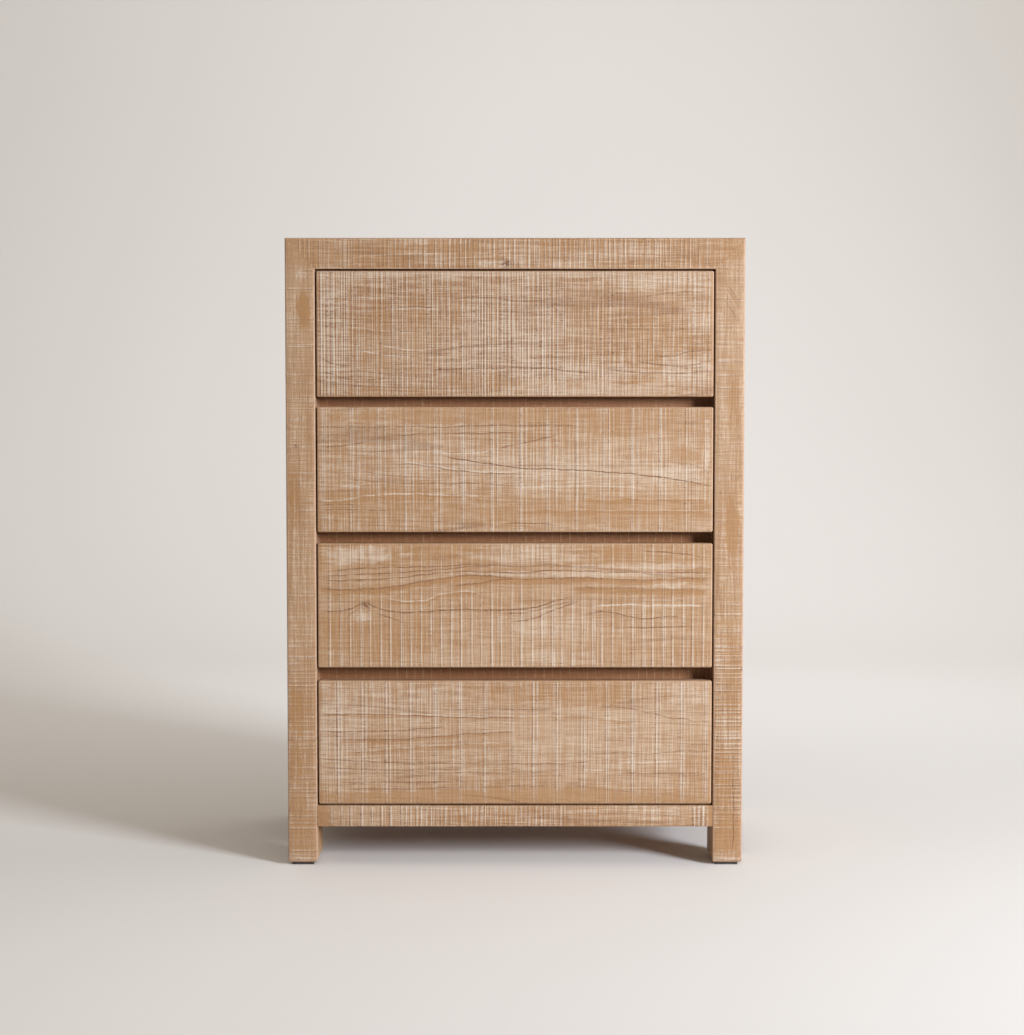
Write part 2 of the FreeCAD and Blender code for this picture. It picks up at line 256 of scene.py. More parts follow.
# %% Worn arris group
inputs = {"Board": ORIGIN, "Half": (1, 1, 1), "Width": 0.004}
worn_arris, entry, leave = start_group("worn_arris", inputs, ("Arris",))
from_middle = vector_calc("ABSOLUTE", entry["Board"])
side_x, side_y, side_z = split(vector_calc("SUBTRACT", entry["Half"], from_middle))
low_pair = calc("MINIMUM", side_x, side_y)
high_pair = calc("MAXIMUM", side_x, side_y)
middle = calc("MAXIMUM", low_pair, calc("MINIMUM", high_pair, side_z))
ragged = cloud(entry["Board"], (60, 60, 60), 3, 0.6)
reach = product(entry["Width"], total(ragged, 0.5))
feed(leave, {"Arris": fade(calc("DIVIDE", middle, reach), 1.0, 0.25)})
print("group", worn_arris.name)

# %% [markdown]
# ### Patch
# Some places on a real board are barer or whiter than the rest. A patch is a soft ellipse with a
# ragged border, at a place and with a reach of its own.

# %% Patch group
inputs = {"Board": ORIGIN, "Place": ORIGIN, "Reach": (0.1, 0.1, 1)}
patch, entry, leave = start_group("patch", inputs, ("Mask",))
offset = vector_calc("SUBTRACT", entry["Board"], entry["Place"])
distance = vector_calc("LENGTH", vector_calc("DIVIDE", offset, entry["Reach"]))
ragged = cloud(entry["Board"], (30, 90, 90), 3, 0.6)
border = calc("ADD", distance, fade(ragged, 0.3, 0.7, -0.3, 0.3))
feed(leave, {"Mask": fade(border, 1.15, 0.55)})
print("group", patch.name)

# %% [markdown]
# ### Drawn grain line
# A few grain lines give each board its character. Their height along the board comes from a curve
# of a few points, and this group turns the distance to that height into a thin line that begins and
# ends softly, and into a band below it.

# %% Drawn grain line group
inputs = {"Across": 0.0, "Height": 0.0, "Width": 0.0015, "Along": 0.5, "Start": 0.0, "Stop": 1.0}
drawn_line, entry, leave = start_group("drawn_grain_line", inputs, ("Line", "Below"))
ratio = calc("DIVIDE", calc("SUBTRACT", entry["Across"], entry["Height"]), entry["Width"])
thin = fade(calc("ABSOLUTE", ratio), 1.0, 0.2)
below = product(fade(ratio, -6.0, -0.6), fade(ratio, 0.4, -0.4))
begins = fade(calc("SUBTRACT", entry["Along"], entry["Start"]), 0.0, 0.03)
ends = fade(calc("SUBTRACT", entry["Stop"], entry["Along"]), 0.0, 0.03)
within = product(begins, ends)
feed(leave, {"Line": product(thin, within), "Below": product(below, within)})
print("group", drawn_line.name)

# %% [markdown]
# ### Knot
# A knot is a small dark core with cracks, inside rings that are squeezed together.

# %% Knot group
knot, entry, leave = start_group("knot", {"Board": ORIGIN, "Place": ORIGIN, "Size": 0.01}, ("Core", "Rings"))
offset = vector_calc("SUBTRACT", entry["Board"], entry["Place"])
distance = vector_calc("LENGTH", vector_calc("MULTIPLY", offset, (0.75, 1, 0)))
cracks = fade(cloud(entry["Board"], (240, 240, 240), 3, 0.6), 0.3, 0.7, -0.5, 0.5)
ratio = calc("ADD", calc("DIVIDE", distance, entry["Size"]), cracks)
rings = calc("SINE", product(ratio, 11.0))
feed(leave, {
    "Core": fade(ratio, 0.8, 0.15),
    "Rings": product(fade(rings, 0.1, 0.9), fade(ratio, 2.2, 0.7)),
})
print("group", knot.name)

# %% [markdown]
# ### Whitewash
# The finish itself: cream wash is rubbed over tan wood and wiped off. It stays on the saw's
# ridges and in the fibres' pores and leaves the smooth places bare. The pits beside the ridges are
# painted dark brown, both for unwashed wood and as painted shade of the ridge. The group mixes all the
# masks into a colour, a roughness and a height.

# %% Whitewash group
whitewash, entry, leave = start_group(
    "whitewash",
    {
        **dict.fromkeys(("Ridge", "Pit", "Flecks", "Line", "Cream", "Band", "Arris", "White", "Bare"), 0.0),
        **dict.fromkeys(("Streaks", "Scratches", "Tone", "Amount"), 0.5),
        **dict.fromkeys(("Weave", "Depth"), 1.0),
        "Warm": orange_wood,
        "Pale": pale_wood,
        "Wash": wash_cream,
        "Worn": arris_wood,
    },
    ("Colour", "Roughness", "Height"),
)
warmth = clamp(calc("SUBTRACT", entry["Tone"], total(entry["Bare"], entry["Band"])))
smooth = calc("SUBTRACT", 1.0, product(entry["Bare"], 0.6))
weave = product(entry["Weave"], smooth)
wood = mix(warmth, entry["Warm"], entry["Pale"])
wood = mix(product(entry["Streaks"], weave, 0.2), wood, grain_and_pit_shade_brown)
# how much of the wood the wash covers
threads = total(product(entry["Scratches"], 0.38), product(entry["Streaks"], -0.3))
rubbed = total(entry["Amount"], product(threads, weave), product(entry["White"], 0.36))
ridge_wash = product(entry["Ridge"], total(product(entry["Scratches"], 0.15), 0.8), smooth)
wiped = calc("SUBTRACT", rubbed, product(entry["Band"], 0.3))
covered = total(wiped, ridge_wash, product(entry["Cream"], 0.52))
covered = fade(calc("SUBTRACT", covered, product(entry["Arris"], 0.35)), -0.05, 1.0, 0.0, 0.95)
washed = mix(covered, wood, entry["Wash"])
washed = mix(product(entry["Arris"], 0.45), washed, entry["Worn"])
# the dark marks, and the painted shade in the saw pits, lie over both
dashes = total(product(entry["Flecks"], 0.4), product(entry["Streaks"], 0.35), 0.36)
# the pits are painted dark, both for unwashed wood and as painted shade of the ridge beside them
pit_wood_and_shade = product(entry["Pit"], dashes, smooth, entry["Depth"])
dark_marks_and_pit_shade = clamp(total(pit_wood_and_shade, product(entry["Line"], 0.6), product(entry["Flecks"], weave, 0.25)), 0.9)
ups = total(product(entry["Scratches"], weave, 0.5), product(entry["Ridge"], 0.5))
downs = total(entry["Flecks"], product(entry["Line"], 0.8), product(entry["Streaks"], 0.3))
feed(leave, {
    "Colour": mix(dark_marks_and_pit_shade, washed, grain_and_pit_shade_brown),
    "Roughness": fade(covered, 0.0, 1.0, 0.55, 0.82),
    "Height": calc("SUBTRACT", ups, downs),
})
print("group", whitewash.name)

# %% [markdown]
# ## The show finish
# One function makes the finish of one show board. The pattern is laid out in the board's own
# directions: first along the grain, then across the face. A Mapping node centres and turns it, so
# that neighbouring boards don't share one pattern and the mitres meet as two separate pieces.

# %% Board directions and shaders
TURNS = {
    "x": (0, 0, 0),
    "y": (0, 0, math.pi / 2),
    "z": (0, -math.pi / 2, 0),
}
# the sides of a board that lie along, across and through it, for each way of the grain
SPANS = {"x": "xzy", "y": "yzx", "z": "zxy"}


def object_place():
    return tree.nodes.new("ShaderNodeTexCoord").outputs["Object"]


def board_coordinates(centre, grain):
    """Coordinates along, through and across a board, from its own middle."""
    feeds = {"Vector": object_place(), "Location": tuple(centre), "Rotation": TURNS[grain]}
    return step("Mapping", feeds, vector_type="TEXTURE").outputs[0]


def new_material(name):
    """A material whose tree is now the one at hand, and its shader."""
    material = bpy.data.materials.new(name)
    material.use_nodes = True
    work_on(material.node_tree)
    return material, tree.nodes["Principled BSDF"]


def coat(shader, colour, roughness, relief, strength, distance, specular=0.5):
    """Feeds a finish to its shader, with a fine relief on the normal."""
    bump = step("Bump", {"Height": relief, "Strength": strength, "Distance": distance})
    feed(shader, {
        "Base Color": colour,
        "Roughness": roughness,
        "Specular IOR Level": specular,
        "Normal": bump.outputs[0],
    })


# %% [markdown]
# Marks that are drawn at their place are listed as a maker would note them on a board. A grain line
# goes through points in per cent along and up the face, and has a width in millimetres and a strength,
# and some lines have a band of barer wood below them, with a strength too. Patches and knots are given
# in millimetres from the middle.

# %% Drawn marks
def shares(points):
    return [(along / 100, up / 100) for along, up in points]


def dark(points, width, strength, band=0):
    """A dark grain line."""
    return shares(points), width / 1000, strength, 0, band


def cream(points, width, strength, band=0):
    """A grain line that is filled with wash."""
    return shares(points), width / 1000, 0, strength, band


def draw_line(along, across, wander, height, points, width):
    """The masks of one grain line, on a board of the given half height."""
    softness = 1.3
    curve = step("FloatCurve", {1: along})
    dots = curve.mapping.curves[0].points
    dots[0].location = points[0]
    dots[1].location = points[-1]
    for point in points[1:-1]:
        dots.new(*point)
    curve.mapping.update()
    rise = product(calc("SUBTRACT", curve.outputs[0], 0.5), 2 * height)
    return use(drawn_line, {
        "Across": across,
        "Height": total(rise, wander),
        "Width": width * softness,
        "Along": along,
        "Start": points[0][0],
        "Stop": points[-1][0],
    })


def patches(board, places):
    """A mask for each patch, given as (along, across, reach along, reach across, strength)."""
    masks = []
    for *spot, strength in places:
        along, across, reach_along, reach_across = (value / 1000 for value in spot)
        feeds = {"Board": board, "Place": (along, across, 0), "Reach": (reach_along, reach_across, 10)}
        masks.append(product(use(patch, feeds)["Mask"], strength))
    return masks


# %% [markdown]
# The finish of a board is put together from these parts. Its own marks are laid over the fibres and
# growth lines that every board has, and the whitewash group turns all of them into a surface.

# %% Show finish
STRAY = 0.0013  # how far a grain line wanders from its curve


def show_finish(node, grain, amount=0.1, weave=1.0, shift=0.0, white=(), bare=(), lines=(), knots=(),
                count=9.0, depth=1.0, worn=0.003, **colours):
    """The whitewashed finish of one board, with its own marks, and its own colours if it has any."""
    material, shader = new_material(node)
    low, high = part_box(node)
    half = (high - low) / 2
    size = tuple(getattr(half, side) for side in SPANS[grain])
    place = split(board_coordinates((low + high) / 2, grain))
    # level boards show z across the face, uprights show x, which their mapping has turned to z
    board = join(place[0], place[2], place[1])
    threads = use(fibres, {"Board": board})
    rings = use(growth, {"Board": board, "Lines": count, "Shift": shift})
    masks = {"Line": [product(rings["Line"], 0.5)], "Cream": [], "Band": []}
    if lines:
        along = calc("ADD", product(place[0], 0.5 / size[0]), 0.5)
        wander = fade(cloud(board, (28, 3, 3), 2, 0.5), 0.2, 0.8, -STRAY, STRAY)
        broken = fade(cloud(board, (90, 8, 8), 2, 0.6), 0.3, 0.55, 0.3, 1.0)
    for points, width, darkness, creaminess, band in lines:
        drawn = draw_line(along, place[2], wander, size[1], points, width)
        if darkness:
            masks["Line"].append(product(drawn["Line"], darkness, broken))
        if creaminess:
            masks["Cream"].append(product(drawn["Line"], creaminess, broken))
        if band:
            masks["Band"].append(product(drawn["Below"], band))
    for spot in knots:
        along_grain, height, radius = (value / 1000 for value in spot)
        eye = use(knot, {"Board": board, "Place": (along_grain, height, 0), "Size": radius})
        masks["Line"] += [eye["Rings"], product(eye["Core"], 2.0)]
    masks["White"] = patches(board, white)
    masks["Bare"] = patches(board, bare)
    layers = use(whitewash, {
        **{title: chain("MAXIMUM", found) for title, found in masks.items() if found},
        **{title: threads[title] for title in ("Streaks", "Scratches", "Flecks")},
        "Ridge": step("Attribute", {}, attribute_name="saw_ridge").outputs["Fac"],
        "Pit": step("Attribute", {}, attribute_name="saw_pit").outputs["Fac"],
        "Tone": rings["Tone"],
        "Arris": use(worn_arris, {"Board": board, "Half": size, "Width": worn})["Arris"],
        "Amount": amount,
        "Weave": weave,
        # Depth sets how dark the saw pits are painted, painted shade included
        "Depth": depth,
        **colours,
    })
    coat(
        shader, layers["Colour"], layers["Roughness"], layers["Height"],
        strength=0.6, distance=0.0005, specular=0.3)
    return material


# %% [markdown]
# ## Working the wood
# Each board starts as a cube of the board's size. Its arrises are eased with a bevel, its edges are
# divided finely enough to carry the marks of the saw, and a mitred end is cut with a bisect. Edges and
# faces are picked in code, by where they are and which way they run.

# %% Picking and starting
def pick(piece, kind, chosen):
    """Opens the piece in edit mode with only the chosen vertices, edges or polygons selected."""
    if bpy.context.mode != "OBJECT":
        bpy.ops.object.mode_set(mode="OBJECT")
    kinds = ("vertices", "edges", "polygons")
    bpy.context.tool_settings.mesh_select_mode = tuple(kind == each for each in kinds)
    for each in kinds:
        parts = getattr(piece.data, each)
        parts.foreach_set("select", chosen if each == kind else np.zeros(len(parts), bool))
    bpy.ops.object.mode_set(mode="EDIT")


def pick_all_faces(piece):
    pick(piece, "polygons", np.ones(len(piece.data.polygons), bool))


def finish_edit():
    bpy.ops.object.mode_set(mode="OBJECT")


def make_active(piece):
    """Selects one object alone."""
    bpy.ops.object.select_all(action="DESELECT")
    piece.select_set(True)
    bpy.context.view_layer.objects.active = piece


def start_board(node):
    """A cube, stretched and moved to the board's place in edit mode, and the corners of its box."""
    low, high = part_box(node)
    bpy.ops.object.select_all(action="DESELECT")
    bpy.ops.mesh.primitive_cube_add(size=1, location=ORIGIN)
    piece = bpy.context.active_object
    piece.name = f"sawn_{node}"
    piece.data.name = piece.name
    bpy.ops.object.mode_set(mode="EDIT")
    bpy.ops.mesh.select_all(action="SELECT")
    bpy.ops.transform.resize(value=tuple(high - low))
    bpy.ops.transform.translate(value=tuple((low + high) / 2))
    finish_edit()
    return piece, low, high


def corners_of(mesh):
    """The two ends of each edge."""
    points = np.empty(len(mesh.vertices) * 3)
    mesh.vertices.foreach_get("co", points)
    pairs = np.empty(len(mesh.edges) * 2, np.int64)
    mesh.edges.foreach_get("vertices", pairs)
    return points.reshape(-1, 3)[pairs.reshape(-1, 2)]


# %% [markdown]
# A mitre is cut by a plane that goes through a point and looks along a normal. What gets eased is told
# by a question about the two ends of an edge. Places closer than a millimetre count as the same.

# %% Cutting a mitre and easing edges
SAME = 0.001


def near(first, second):
    return abs(first - second) < SAME


def mitre(piece, point, normal):
    """Cuts off what lies beyond a plane and closes the cut."""
    pick_all_faces(piece)
    way = Vector(normal).normalized()
    bpy.ops.mesh.bisect(plane_co=point, plane_no=way, use_fill=True, clear_outer=True)
    finish_edit()


def ease(piece, wanted, radius, segments):
    """Rounds the edges for which wanted(start, stop) is true."""
    ends = corners_of(piece.data)
    chosen = np.array([bool(wanted(Vector(a), Vector(b))) for a, b in ends])
    pick(piece, "edges", chosen)
    bpy.ops.mesh.bevel(offset=radius, segments=segments, profile=0.5, affect="EDGES")
    finish_edit()


# %% [markdown]
# To divide a board without making slivers, opposite edges of each face get the same number of cuts.
# The helper follows these rings of edges round the board, and cuts each ring by its longest edge.

# %% Dividing a board
NEARLY_STRAIGHT = 0.97
MOST_CUTS = 100


def edge_rings(mesh, axis):
    """Groups of edges that lie opposite each other, for edges that run along an axis."""
    ends = corners_of(mesh)
    runs = ends[:, 1] - ends[:, 0]
    lengths = np.linalg.norm(runs, axis=1)
    level = np.abs(runs[:, axis]) > NEARLY_STRAIGHT * lengths
    leader = list(range(len(mesh.edges)))

    def find(index):
        while leader[index] != index:
            leader[index] = leader[leader[index]]
            index = leader[index]
        return index

    numbers = {edge.key: edge.index for edge in mesh.edges}
    for face in mesh.polygons:
        keys = [numbers[key] for key in face.edge_keys]
        if len(keys) == 4:
            for first, second in ((keys[0], keys[2]), (keys[1], keys[3])):
                leader[find(first)] = find(second)
    rings = {}
    for index in range(len(mesh.edges)):
        if level[index]:
            rings.setdefault(find(index), []).append(index)
    return [(group, max(lengths[group])) for group in rings.values()]


def divide_along(piece, axis, spacing):
    """Cuts the edges along an axis into lengths of about the given spacing, in one go or in several."""
    while True:
        jobs = {}
        for group, length in edge_rings(piece.data, axis):
            parts = round(length / spacing)
            if parts > 1:
                cuts = parts - 1 if parts <= MOST_CUTS else math.ceil(parts ** 0.5) - 1
                jobs.setdefault(cuts, []).extend(group)
        if not jobs:
            return
        fewest = min(jobs)
        chosen = np.zeros(len(piece.data.edges), bool)
        chosen[jobs[fewest]] = True
        pick(piece, "edges", chosen)
        bpy.ops.mesh.subdivide(number_cuts=fewest)
        finish_edit()


def divide(piece, **spacings):
    """Divides a board along each axis that is named, in the order of the names."""
    for axis, spacing in spacings.items():
        divide_along(piece, "xyz".index(axis), spacing)


# %% [markdown]
# ## The marks of the saw
# A frame saw leaves one stroke after another across the board, a small ridge with a pit beside it,
# at a spacing of 5 to 20 mm, and some strokes come in pairs. They are drawn from a seeded row of random
# numbers, so that they come out the same each time. A call says where they start and stop, how far
# apart they are, and the seed. Then it names what isn't as usual: how strong or wide they are, how
# much they scatter, how many have a second stroke, and how far off that one is. Lengths are in metres
# from the middle of the board.

# %% Saw strokes
PITCH = 0.00873  # the usual way from one stroke to the next


def strokes(start, stop, pitch, seed, strength=1.0, width=0.0009, scatter=0.1, pairs=0.0, gap=0.0032):
    """Strokes from start to stop, as (place, strength, width).

    The scatter is a share of the pitch, and pairs is the share of strokes that have a second one.
    """
    dice = random.Random(seed)
    made = []
    place = start
    while place < stop:
        force = strength * dice.uniform(0.65, 1.0)
        spot = place + dice.uniform(-scatter, scatter) * pitch
        made.append((spot, force, width * dice.uniform(0.8, 1.25)))
        if dice.random() < pairs:
            made.append((spot + gap, force * dice.uniform(0.6, 0.9), width * 0.8))
        place += pitch
    return made


def drift(first, second, seed):
    """A slow, even swing between -1 and 1 over a board, from a few waves."""
    dice = random.Random(seed)
    field = np.zeros(len(first))
    for _ in range(6):
        turns = dice.uniform(2, 14)
        slant = dice.uniform(-20, 20)
        field += np.sin(first * turns + second * slant + dice.uniform(0, 6.3))
    return field / 4


# %% [markdown]
# Sawing reads where each point of the mesh lies and which way it looks. Points on a sawn face go in by
# the saw's depth, those on a ridge stay, and those in a pit go deeper. The rounded arrises get small
# nicks. The ridges and pits are kept as attributes too, because the finish needs to find them.

# %% Sawing
RIDGE_DEPTH = 0.00032
PIT_DEPTH = 0.8 * RIDGE_DEPTH
NICK_DEPTH = 0.0003
PIT_PLACE = 1.7  # in widths of the stroke, before its ridge


def read_vectors(items, title):
    values = np.empty(len(items) * 3)
    items.foreach_get(title, values)
    return values.reshape(-1, 3)


def saw_profile(local, axis, across, made):
    """How strongly each point of a board lies on a ridge and in a pit."""
    ridge = np.zeros(len(local))
    pit = np.zeros(len(local))
    for spot, force, width in made:
        # each stroke stands a little beside its place, and leans a little
        lean = 0.0006 * math.sin(spot * 900) + local[:, across] * 0.002 * math.sin(spot * 210)
        distance = (local[:, axis] - spot - lean) / width
        ridge += force * np.exp(-distance ** 2)
        pit += force * np.exp(-(distance + PIT_PLACE) ** 2)
    return ridge, pit


def saw(piece, grain, made, sawn, seed, upper=1.0):
    """Presses the strokes into the faces that look the sawn ways; upper is their share high up."""
    mesh = piece.data
    points = read_vectors(mesh.vertices, "co")
    normals = read_vectors(mesh.vertex_normals, "vector")
    axis = "xyz".index(grain)
    side = [each for each in range(3) if each != axis]
    local = points - (points.min(0) + points.max(0)) / 2
    along = local[:, axis]
    ridge, pit = saw_profile(local, axis, side[1], made)
    facing = np.zeros(len(points))
    straight = normals.copy()
    for way in sawn:
        sign = -1 if way[0] == "-" else 1
        toward = sign * normals[:, "xyz".index(way[-1])]
        straight[toward > facing] = [sign * (each == way[-1]) for each in "xyz"]
        facing = np.maximum(facing, toward)
    # where a face meets a mitre, the wood is pressed straight in, so that the joint stays closed
    at_mitre = np.abs(normals[:, [0, 2]]).min(axis=1) > 0.2
    normals[at_mitre] = straight[at_mitre]
    facing[at_mitre] = facing[at_mitre] > 0.3
    facing = np.clip(facing, 0, 1)
    # a rounded arris is where the normal leaves the board's own directions
    rounded = np.clip((0.985 - np.abs(normals).max(1)) * 12, 0, 1)
    rounded *= (facing > 0.05) & (np.abs(normals[:, axis]) < 0.2)
    facing = facing ** 2
    # the strokes come and go over the board, and may be fainter in its upper half
    swing = drift(along, local[:, side[1]] + local[:, side[0]], seed)
    presence = np.clip(0.86 + 0.3 * swing, 0.5, 1.0)
    presence *= np.interp(local[:, 2], [-0.005, 0.04], [1.0, upper])
    ridge = np.clip(ridge * presence, 0, 1) * facing
    pit = np.clip(pit * presence, 0, 1) * facing
    nicks = np.clip(drift(along * 40, local[:, side[0]] * 9, seed + 1), 0, 1) * rounded
    push = -RIDGE_DEPTH * facing * (1 - ridge) - PIT_DEPTH * pit - NICK_DEPTH * nicks
    mesh.vertices.foreach_set("co", (points + normals * push[:, None]).ravel())
    for title, values in (("saw_ridge", ridge), ("saw_pit", pit)):
        mesh.attributes.new(title, "FLOAT", "POINT").data.foreach_set("value", values)
    mesh.update()


def put_in_frame(piece, body, slot_name, material, *nodes):
    """Shades the piece, gives it its finish and hands it over to the CAD body."""
    make_active(piece)
    bpy.ops.object.shade_smooth_by_angle(angle=math.radians(40))
    piece.data.materials.clear()
    piece.data.materials.append(material)
    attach(piece, body)
    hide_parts(*nodes)
    piece.data.calc_loop_triangles()
    print(piece.name, len(piece.data.loop_triangles), "triangles")


def finish_board(piece, node, body, grain, **look):
    """Gives a show board its whitewash and its place on a body."""
    put_in_frame(piece, body, "whitewashed_wood", show_finish(node, grain, **look), node)


# %% [markdown]
# ## The posts
# Stile and leg are one piece. The front pair is mitred at the top to the top rail, with its saw
# strokes running across, so they lie level on an upright. The mitre runs from the outer top corner to
# the inner corner of the frame, and the foot is rounded so that it doesn't splinter when dragged.

# %% Posts
def is_upright(a, b):
    return abs(a.z - b.z) > 0.5


def post_piece(side, row, **look):
    node = f"{side}_{row}_post"
    piece, low, high = start_board(node)
    inner, outer = (high.x, low.x) if side == "left" else (low.x, high.x)
    front = low.y if row == "front" else high.y
    foot = 0.005
    ease(piece, lambda a, b: max(a.z, b.z) < low.z + SAME, radius=foot, segments=4)
    for edge, radius, segments in ((outer, 0.0035, 4), (inner, 0.0024, 3)):
        ease(piece, lambda a, b: is_upright(a, b) and near(a.y, front) and near(a.x, edge), radius, segments)
    ease(piece, lambda a, b: is_upright(a, b) and abs(a.y - front) > foot, radius=0.0015, segments=2)
    divide(piece, z=0.0014 if row == "front" else 0.0022, x=0.011, y=0.02)
    rail_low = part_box(f"top_{row}_rail")[0]
    inward = math.copysign(high.z - rail_low.z, inner - outer)
    mitre(piece, (outer, 0, high.z), (inward, 0, high.x - low.x))
    seed = 11 if side == "left" else 23
    length = (high.z - low.z) / 2
    made = strokes(-length, length, 0.0053, seed, strength=0.42, width=0.0008, scatter=0.3, pairs=0.1)
    made += strokes(-length, -0.16, 0.0078, seed + 5, strength=0.85, width=0.001, scatter=0.25)
    made += strokes(-0.16, length, 0.0262, seed + 7, strength=0.45, width=0.001, scatter=0.4)
    out = "-x" if side == "left" else "x"
    face = "-y" if row == "front" else "y"
    saw(piece, "z", made, (out, face), seed)
    finish_board(piece, node, "case", "z", shift=seed * 0.37, count=6, worn=0.0045, **look)


post_piece(
    "left", "front", amount=-0.09,
    lines=[
        cream([(10, 74), (30, 70), (52, 72), (70, 66), (94, 65)], 2, 0.4),
        cream([(5, 30), (25, 34), (50, 33), (62, 28)], 1.6, 0.4),
        dark([(4.5, 72), (7, 62), (9.5, 53)], 1.3, 0.9),
        cream([(15, 46), (17, 42), (20, 44)], 1.3, 0.9),
        dark([(42, 50), (60, 56), (78, 53)], 1.2, 0.5),
    ],
    bare=[
        (422, -6, 45, 12, 1), (-280, 10, 55, 13, 1), (-375, 12, 50, 12, 0.8), (-455, 8, 55, 16, 0.8),
        (-500, 0, 60, 50, 0.75), (520, 0, 35, 40, 0.5), (100, 12, 60, 10, 0.5), (-300, 0, 200, 40, 0.45),
    ],
    white=[(482, 0, 14, 12, 0.7), (100, -4, 160, 10, 0.3), (-539, 0, 12, 50, 0.5)],
    knots=[(185, 8, 3)],
)
post_piece(
    "right", "front", amount=-0.06,
    lines=[
        dark([(1, 33), (6, 30), (10, 32), (15.5, 31)], 1.3, 1.2),
        cream([(87.1, 6), (89, 30), (91, 55), (93.2, 88)], 1.7, 0.9, 0.5),
        dark([(85.5, 10), (87.5, 34), (89.5, 60), (91.5, 90)], 1.4, 0.8),
        dark([(88.5, 8), (90.5, 32), (92.5, 60), (94.5, 90)], 1.4, 0.6),
        cream([(84, 12), (85.8, 36), (87.6, 66)], 1.3, 0.5),
        cream([(20, 62), (40, 60), (60, 66), (85, 63)], 1.8, 0.25),
    ],
    bare=[
        (535, 0, 30, 30, 0.7), (260, -4, 60, 14, 0.6), (35, -6, 60, 14, 0.9), (-200, -6, 80, 16, 0.5),
        (-400, 6, 60, 14, 0.6), (-500, 0, 50, 30, 0.9),
    ],
    white=[(330, 12, 90, 10, 0.3), (-539, 0, 12, 50, 0.5)],
)
post_piece("left", "rear", amount=0.03)
post_piece("right", "rear", amount=0.03)

# %% [markdown]
# ## The top rails
# The top rail is cut at both ends to meet the posts. On the real piece its strokes run down the
# face every 9 mm and stop short of the mitres, where the ends were planed bare. The rear rail also
# gets the two holes for a wall strap.

# %% Top rails
def drill(piece, spots, radius, depth):
    """Drills blind holes into a board's back."""
    rear = max(vertex.co.y for vertex in piece.data.vertices)
    for x, z in spots:
        bpy.ops.object.select_all(action="DESELECT")
        bpy.ops.mesh.primitive_cylinder_add(
            vertices=24, radius=radius, depth=2 * depth, location=(x, rear, z), rotation=(math.pi / 2, 0, 0))
        bit = bpy.context.active_object
        make_active(piece)
        hole = piece.modifiers.new("hole", "BOOLEAN")
        hole.operation = "DIFFERENCE"
        hole.object = bit
        bpy.ops.object.modifier_apply(modifier="hole")
        bpy.data.meshes.remove(bit.data)


def top_rail_piece(row, seed, **look):
    node = f"top_{row}_rail"
    piece, low, high = start_board(node)
    post_low, post_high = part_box(f"left_{row}_post")
    fall = high.z - low.z
    run = post_high.x - post_low.x
    front = low.y if row == "front" else high.y

    def is_show_top(a, b):
        return abs(a.x - b.x) > 0.5 and near(a.y, front) and a.z > high.z - SAME

    def is_other(a, b):
        is_lesser = a.z < low.z + SAME or abs(a.y - front) > 0.004
        return abs(a.x - b.x) > 0.5 and is_lesser and not is_show_top(a, b)

    ease(piece, is_show_top, radius=0.0035, segments=4)
    ease(piece, is_other, radius=0.0012, segments=2)
    divide(piece, x=0.0013 if row == "front" else 0.0022, z=0.014, y=0.024)
    mitre(piece, (low.x, 0, high.z), (-fall, 0, -run))
    mitre(piece, (high.x, 0, high.z), (fall, 0, -run))
    made = strokes(-0.375, -0.08, PITCH, seed, width=0.001, scatter=0.12, pairs=0.25)
    made += strokes(-0.08, 0.375, PITCH, seed + 1, strength=0.75, width=0.001, scatter=0.12, pairs=0.2)
    made += strokes(-0.33, 0.34, 0.0047, seed + 2, strength=0.33, width=0.0008, scatter=0.3)
    saw(piece, "x", made, ("z", "-y" if row == "front" else "y"), 31)
    if row == "rear":
        drill(piece, [(-0.2, 1.073), (0.2, 1.073)], radius=0.002, depth=0.025)
    finish_board(piece, node, "case", "x", shift=seed * 0.26, amount=-0.04, count=6, **look)


top_rail_piece(
    "front", 5,
    lines=[
        cream([(13, 30), (24, 47), (36, 49)], 1.4, 0.7),
        dark([(8, 62), (20, 66), (34, 60), (50, 62)], 1.2, 0.5),
        dark([(50, 30), (62, 36), (75, 33), (90, 38)], 1.2, 0.5),
    ],
    knots=[(-15.5, -17, 6)],
    white=[
        (-52, -18, 14, 10, 1), (-26, -19, 20, 9, 1), (5, -12, 30, 12, 0.7), (160, 0, 120, 20, 0.3),
    ],
    bare=[
        (-350, 4, 60, 30, 0.6), (-240, 0, 90, 30, 0.5), (-120, 10, 80, 12, 0.6), (100, 12, 70, 10, 0.4),
        (385, 0, 30, 30, 0.3),
    ],
)
top_rail_piece(
    "rear", 15,
    lines=[
        dark([(5, 40), (20, 34), (42, 44), (60, 40)], 1.4, 0.8),
        cream([(30, 70), (50, 64), (72, 70), (95, 66)], 1.4, 0.6, 0.4),
    ],
    white=[(50, 5, 200, 20, 0.4)],
)

# %% [markdown]
# ## Side panels and top panel
# Between the posts lie 20 mm boards, flush with them outside. Sides and top meet at a mitre, so the
# strokes turn over the corner. Only their outer faces are sawn, because the insides are planed.

# %% Panels
def panel_piece(node, grain, out, seed):
    piece, low, high = start_board(node)
    axis = "xyz".index(grain)
    ease(piece, lambda a, b: abs((b - a)[axis]) > 0.5, radius=0.0008, segments=1)
    divide(piece, **{grain: 0.0016, "y": 0.03})
    if out == "z":
        mitre(piece, (low.x, 0, high.z), (-1, 0, -1))
        mitre(piece, (high.x, 0, high.z), (1, 0, -1))
    elif out == "-x":
        mitre(piece, (low.x, 0, high.z), (1, 0, 1))
    else:
        mitre(piece, (high.x, 0, high.z), (-1, 0, 1))
    half = max(high - low) / 2
    made = strokes(-half, half, 0.0088, seed, strength=0.9, width=0.0011, scatter=0.15, pairs=0.3)
    made += strokes(-half, half, 0.0043, seed + 3, strength=0.4, scatter=0.3)
    saw(piece, grain, made, (out,), seed)
    finish_board(piece, node, "case", grain, shift=seed * 0.21, amount=0.0)


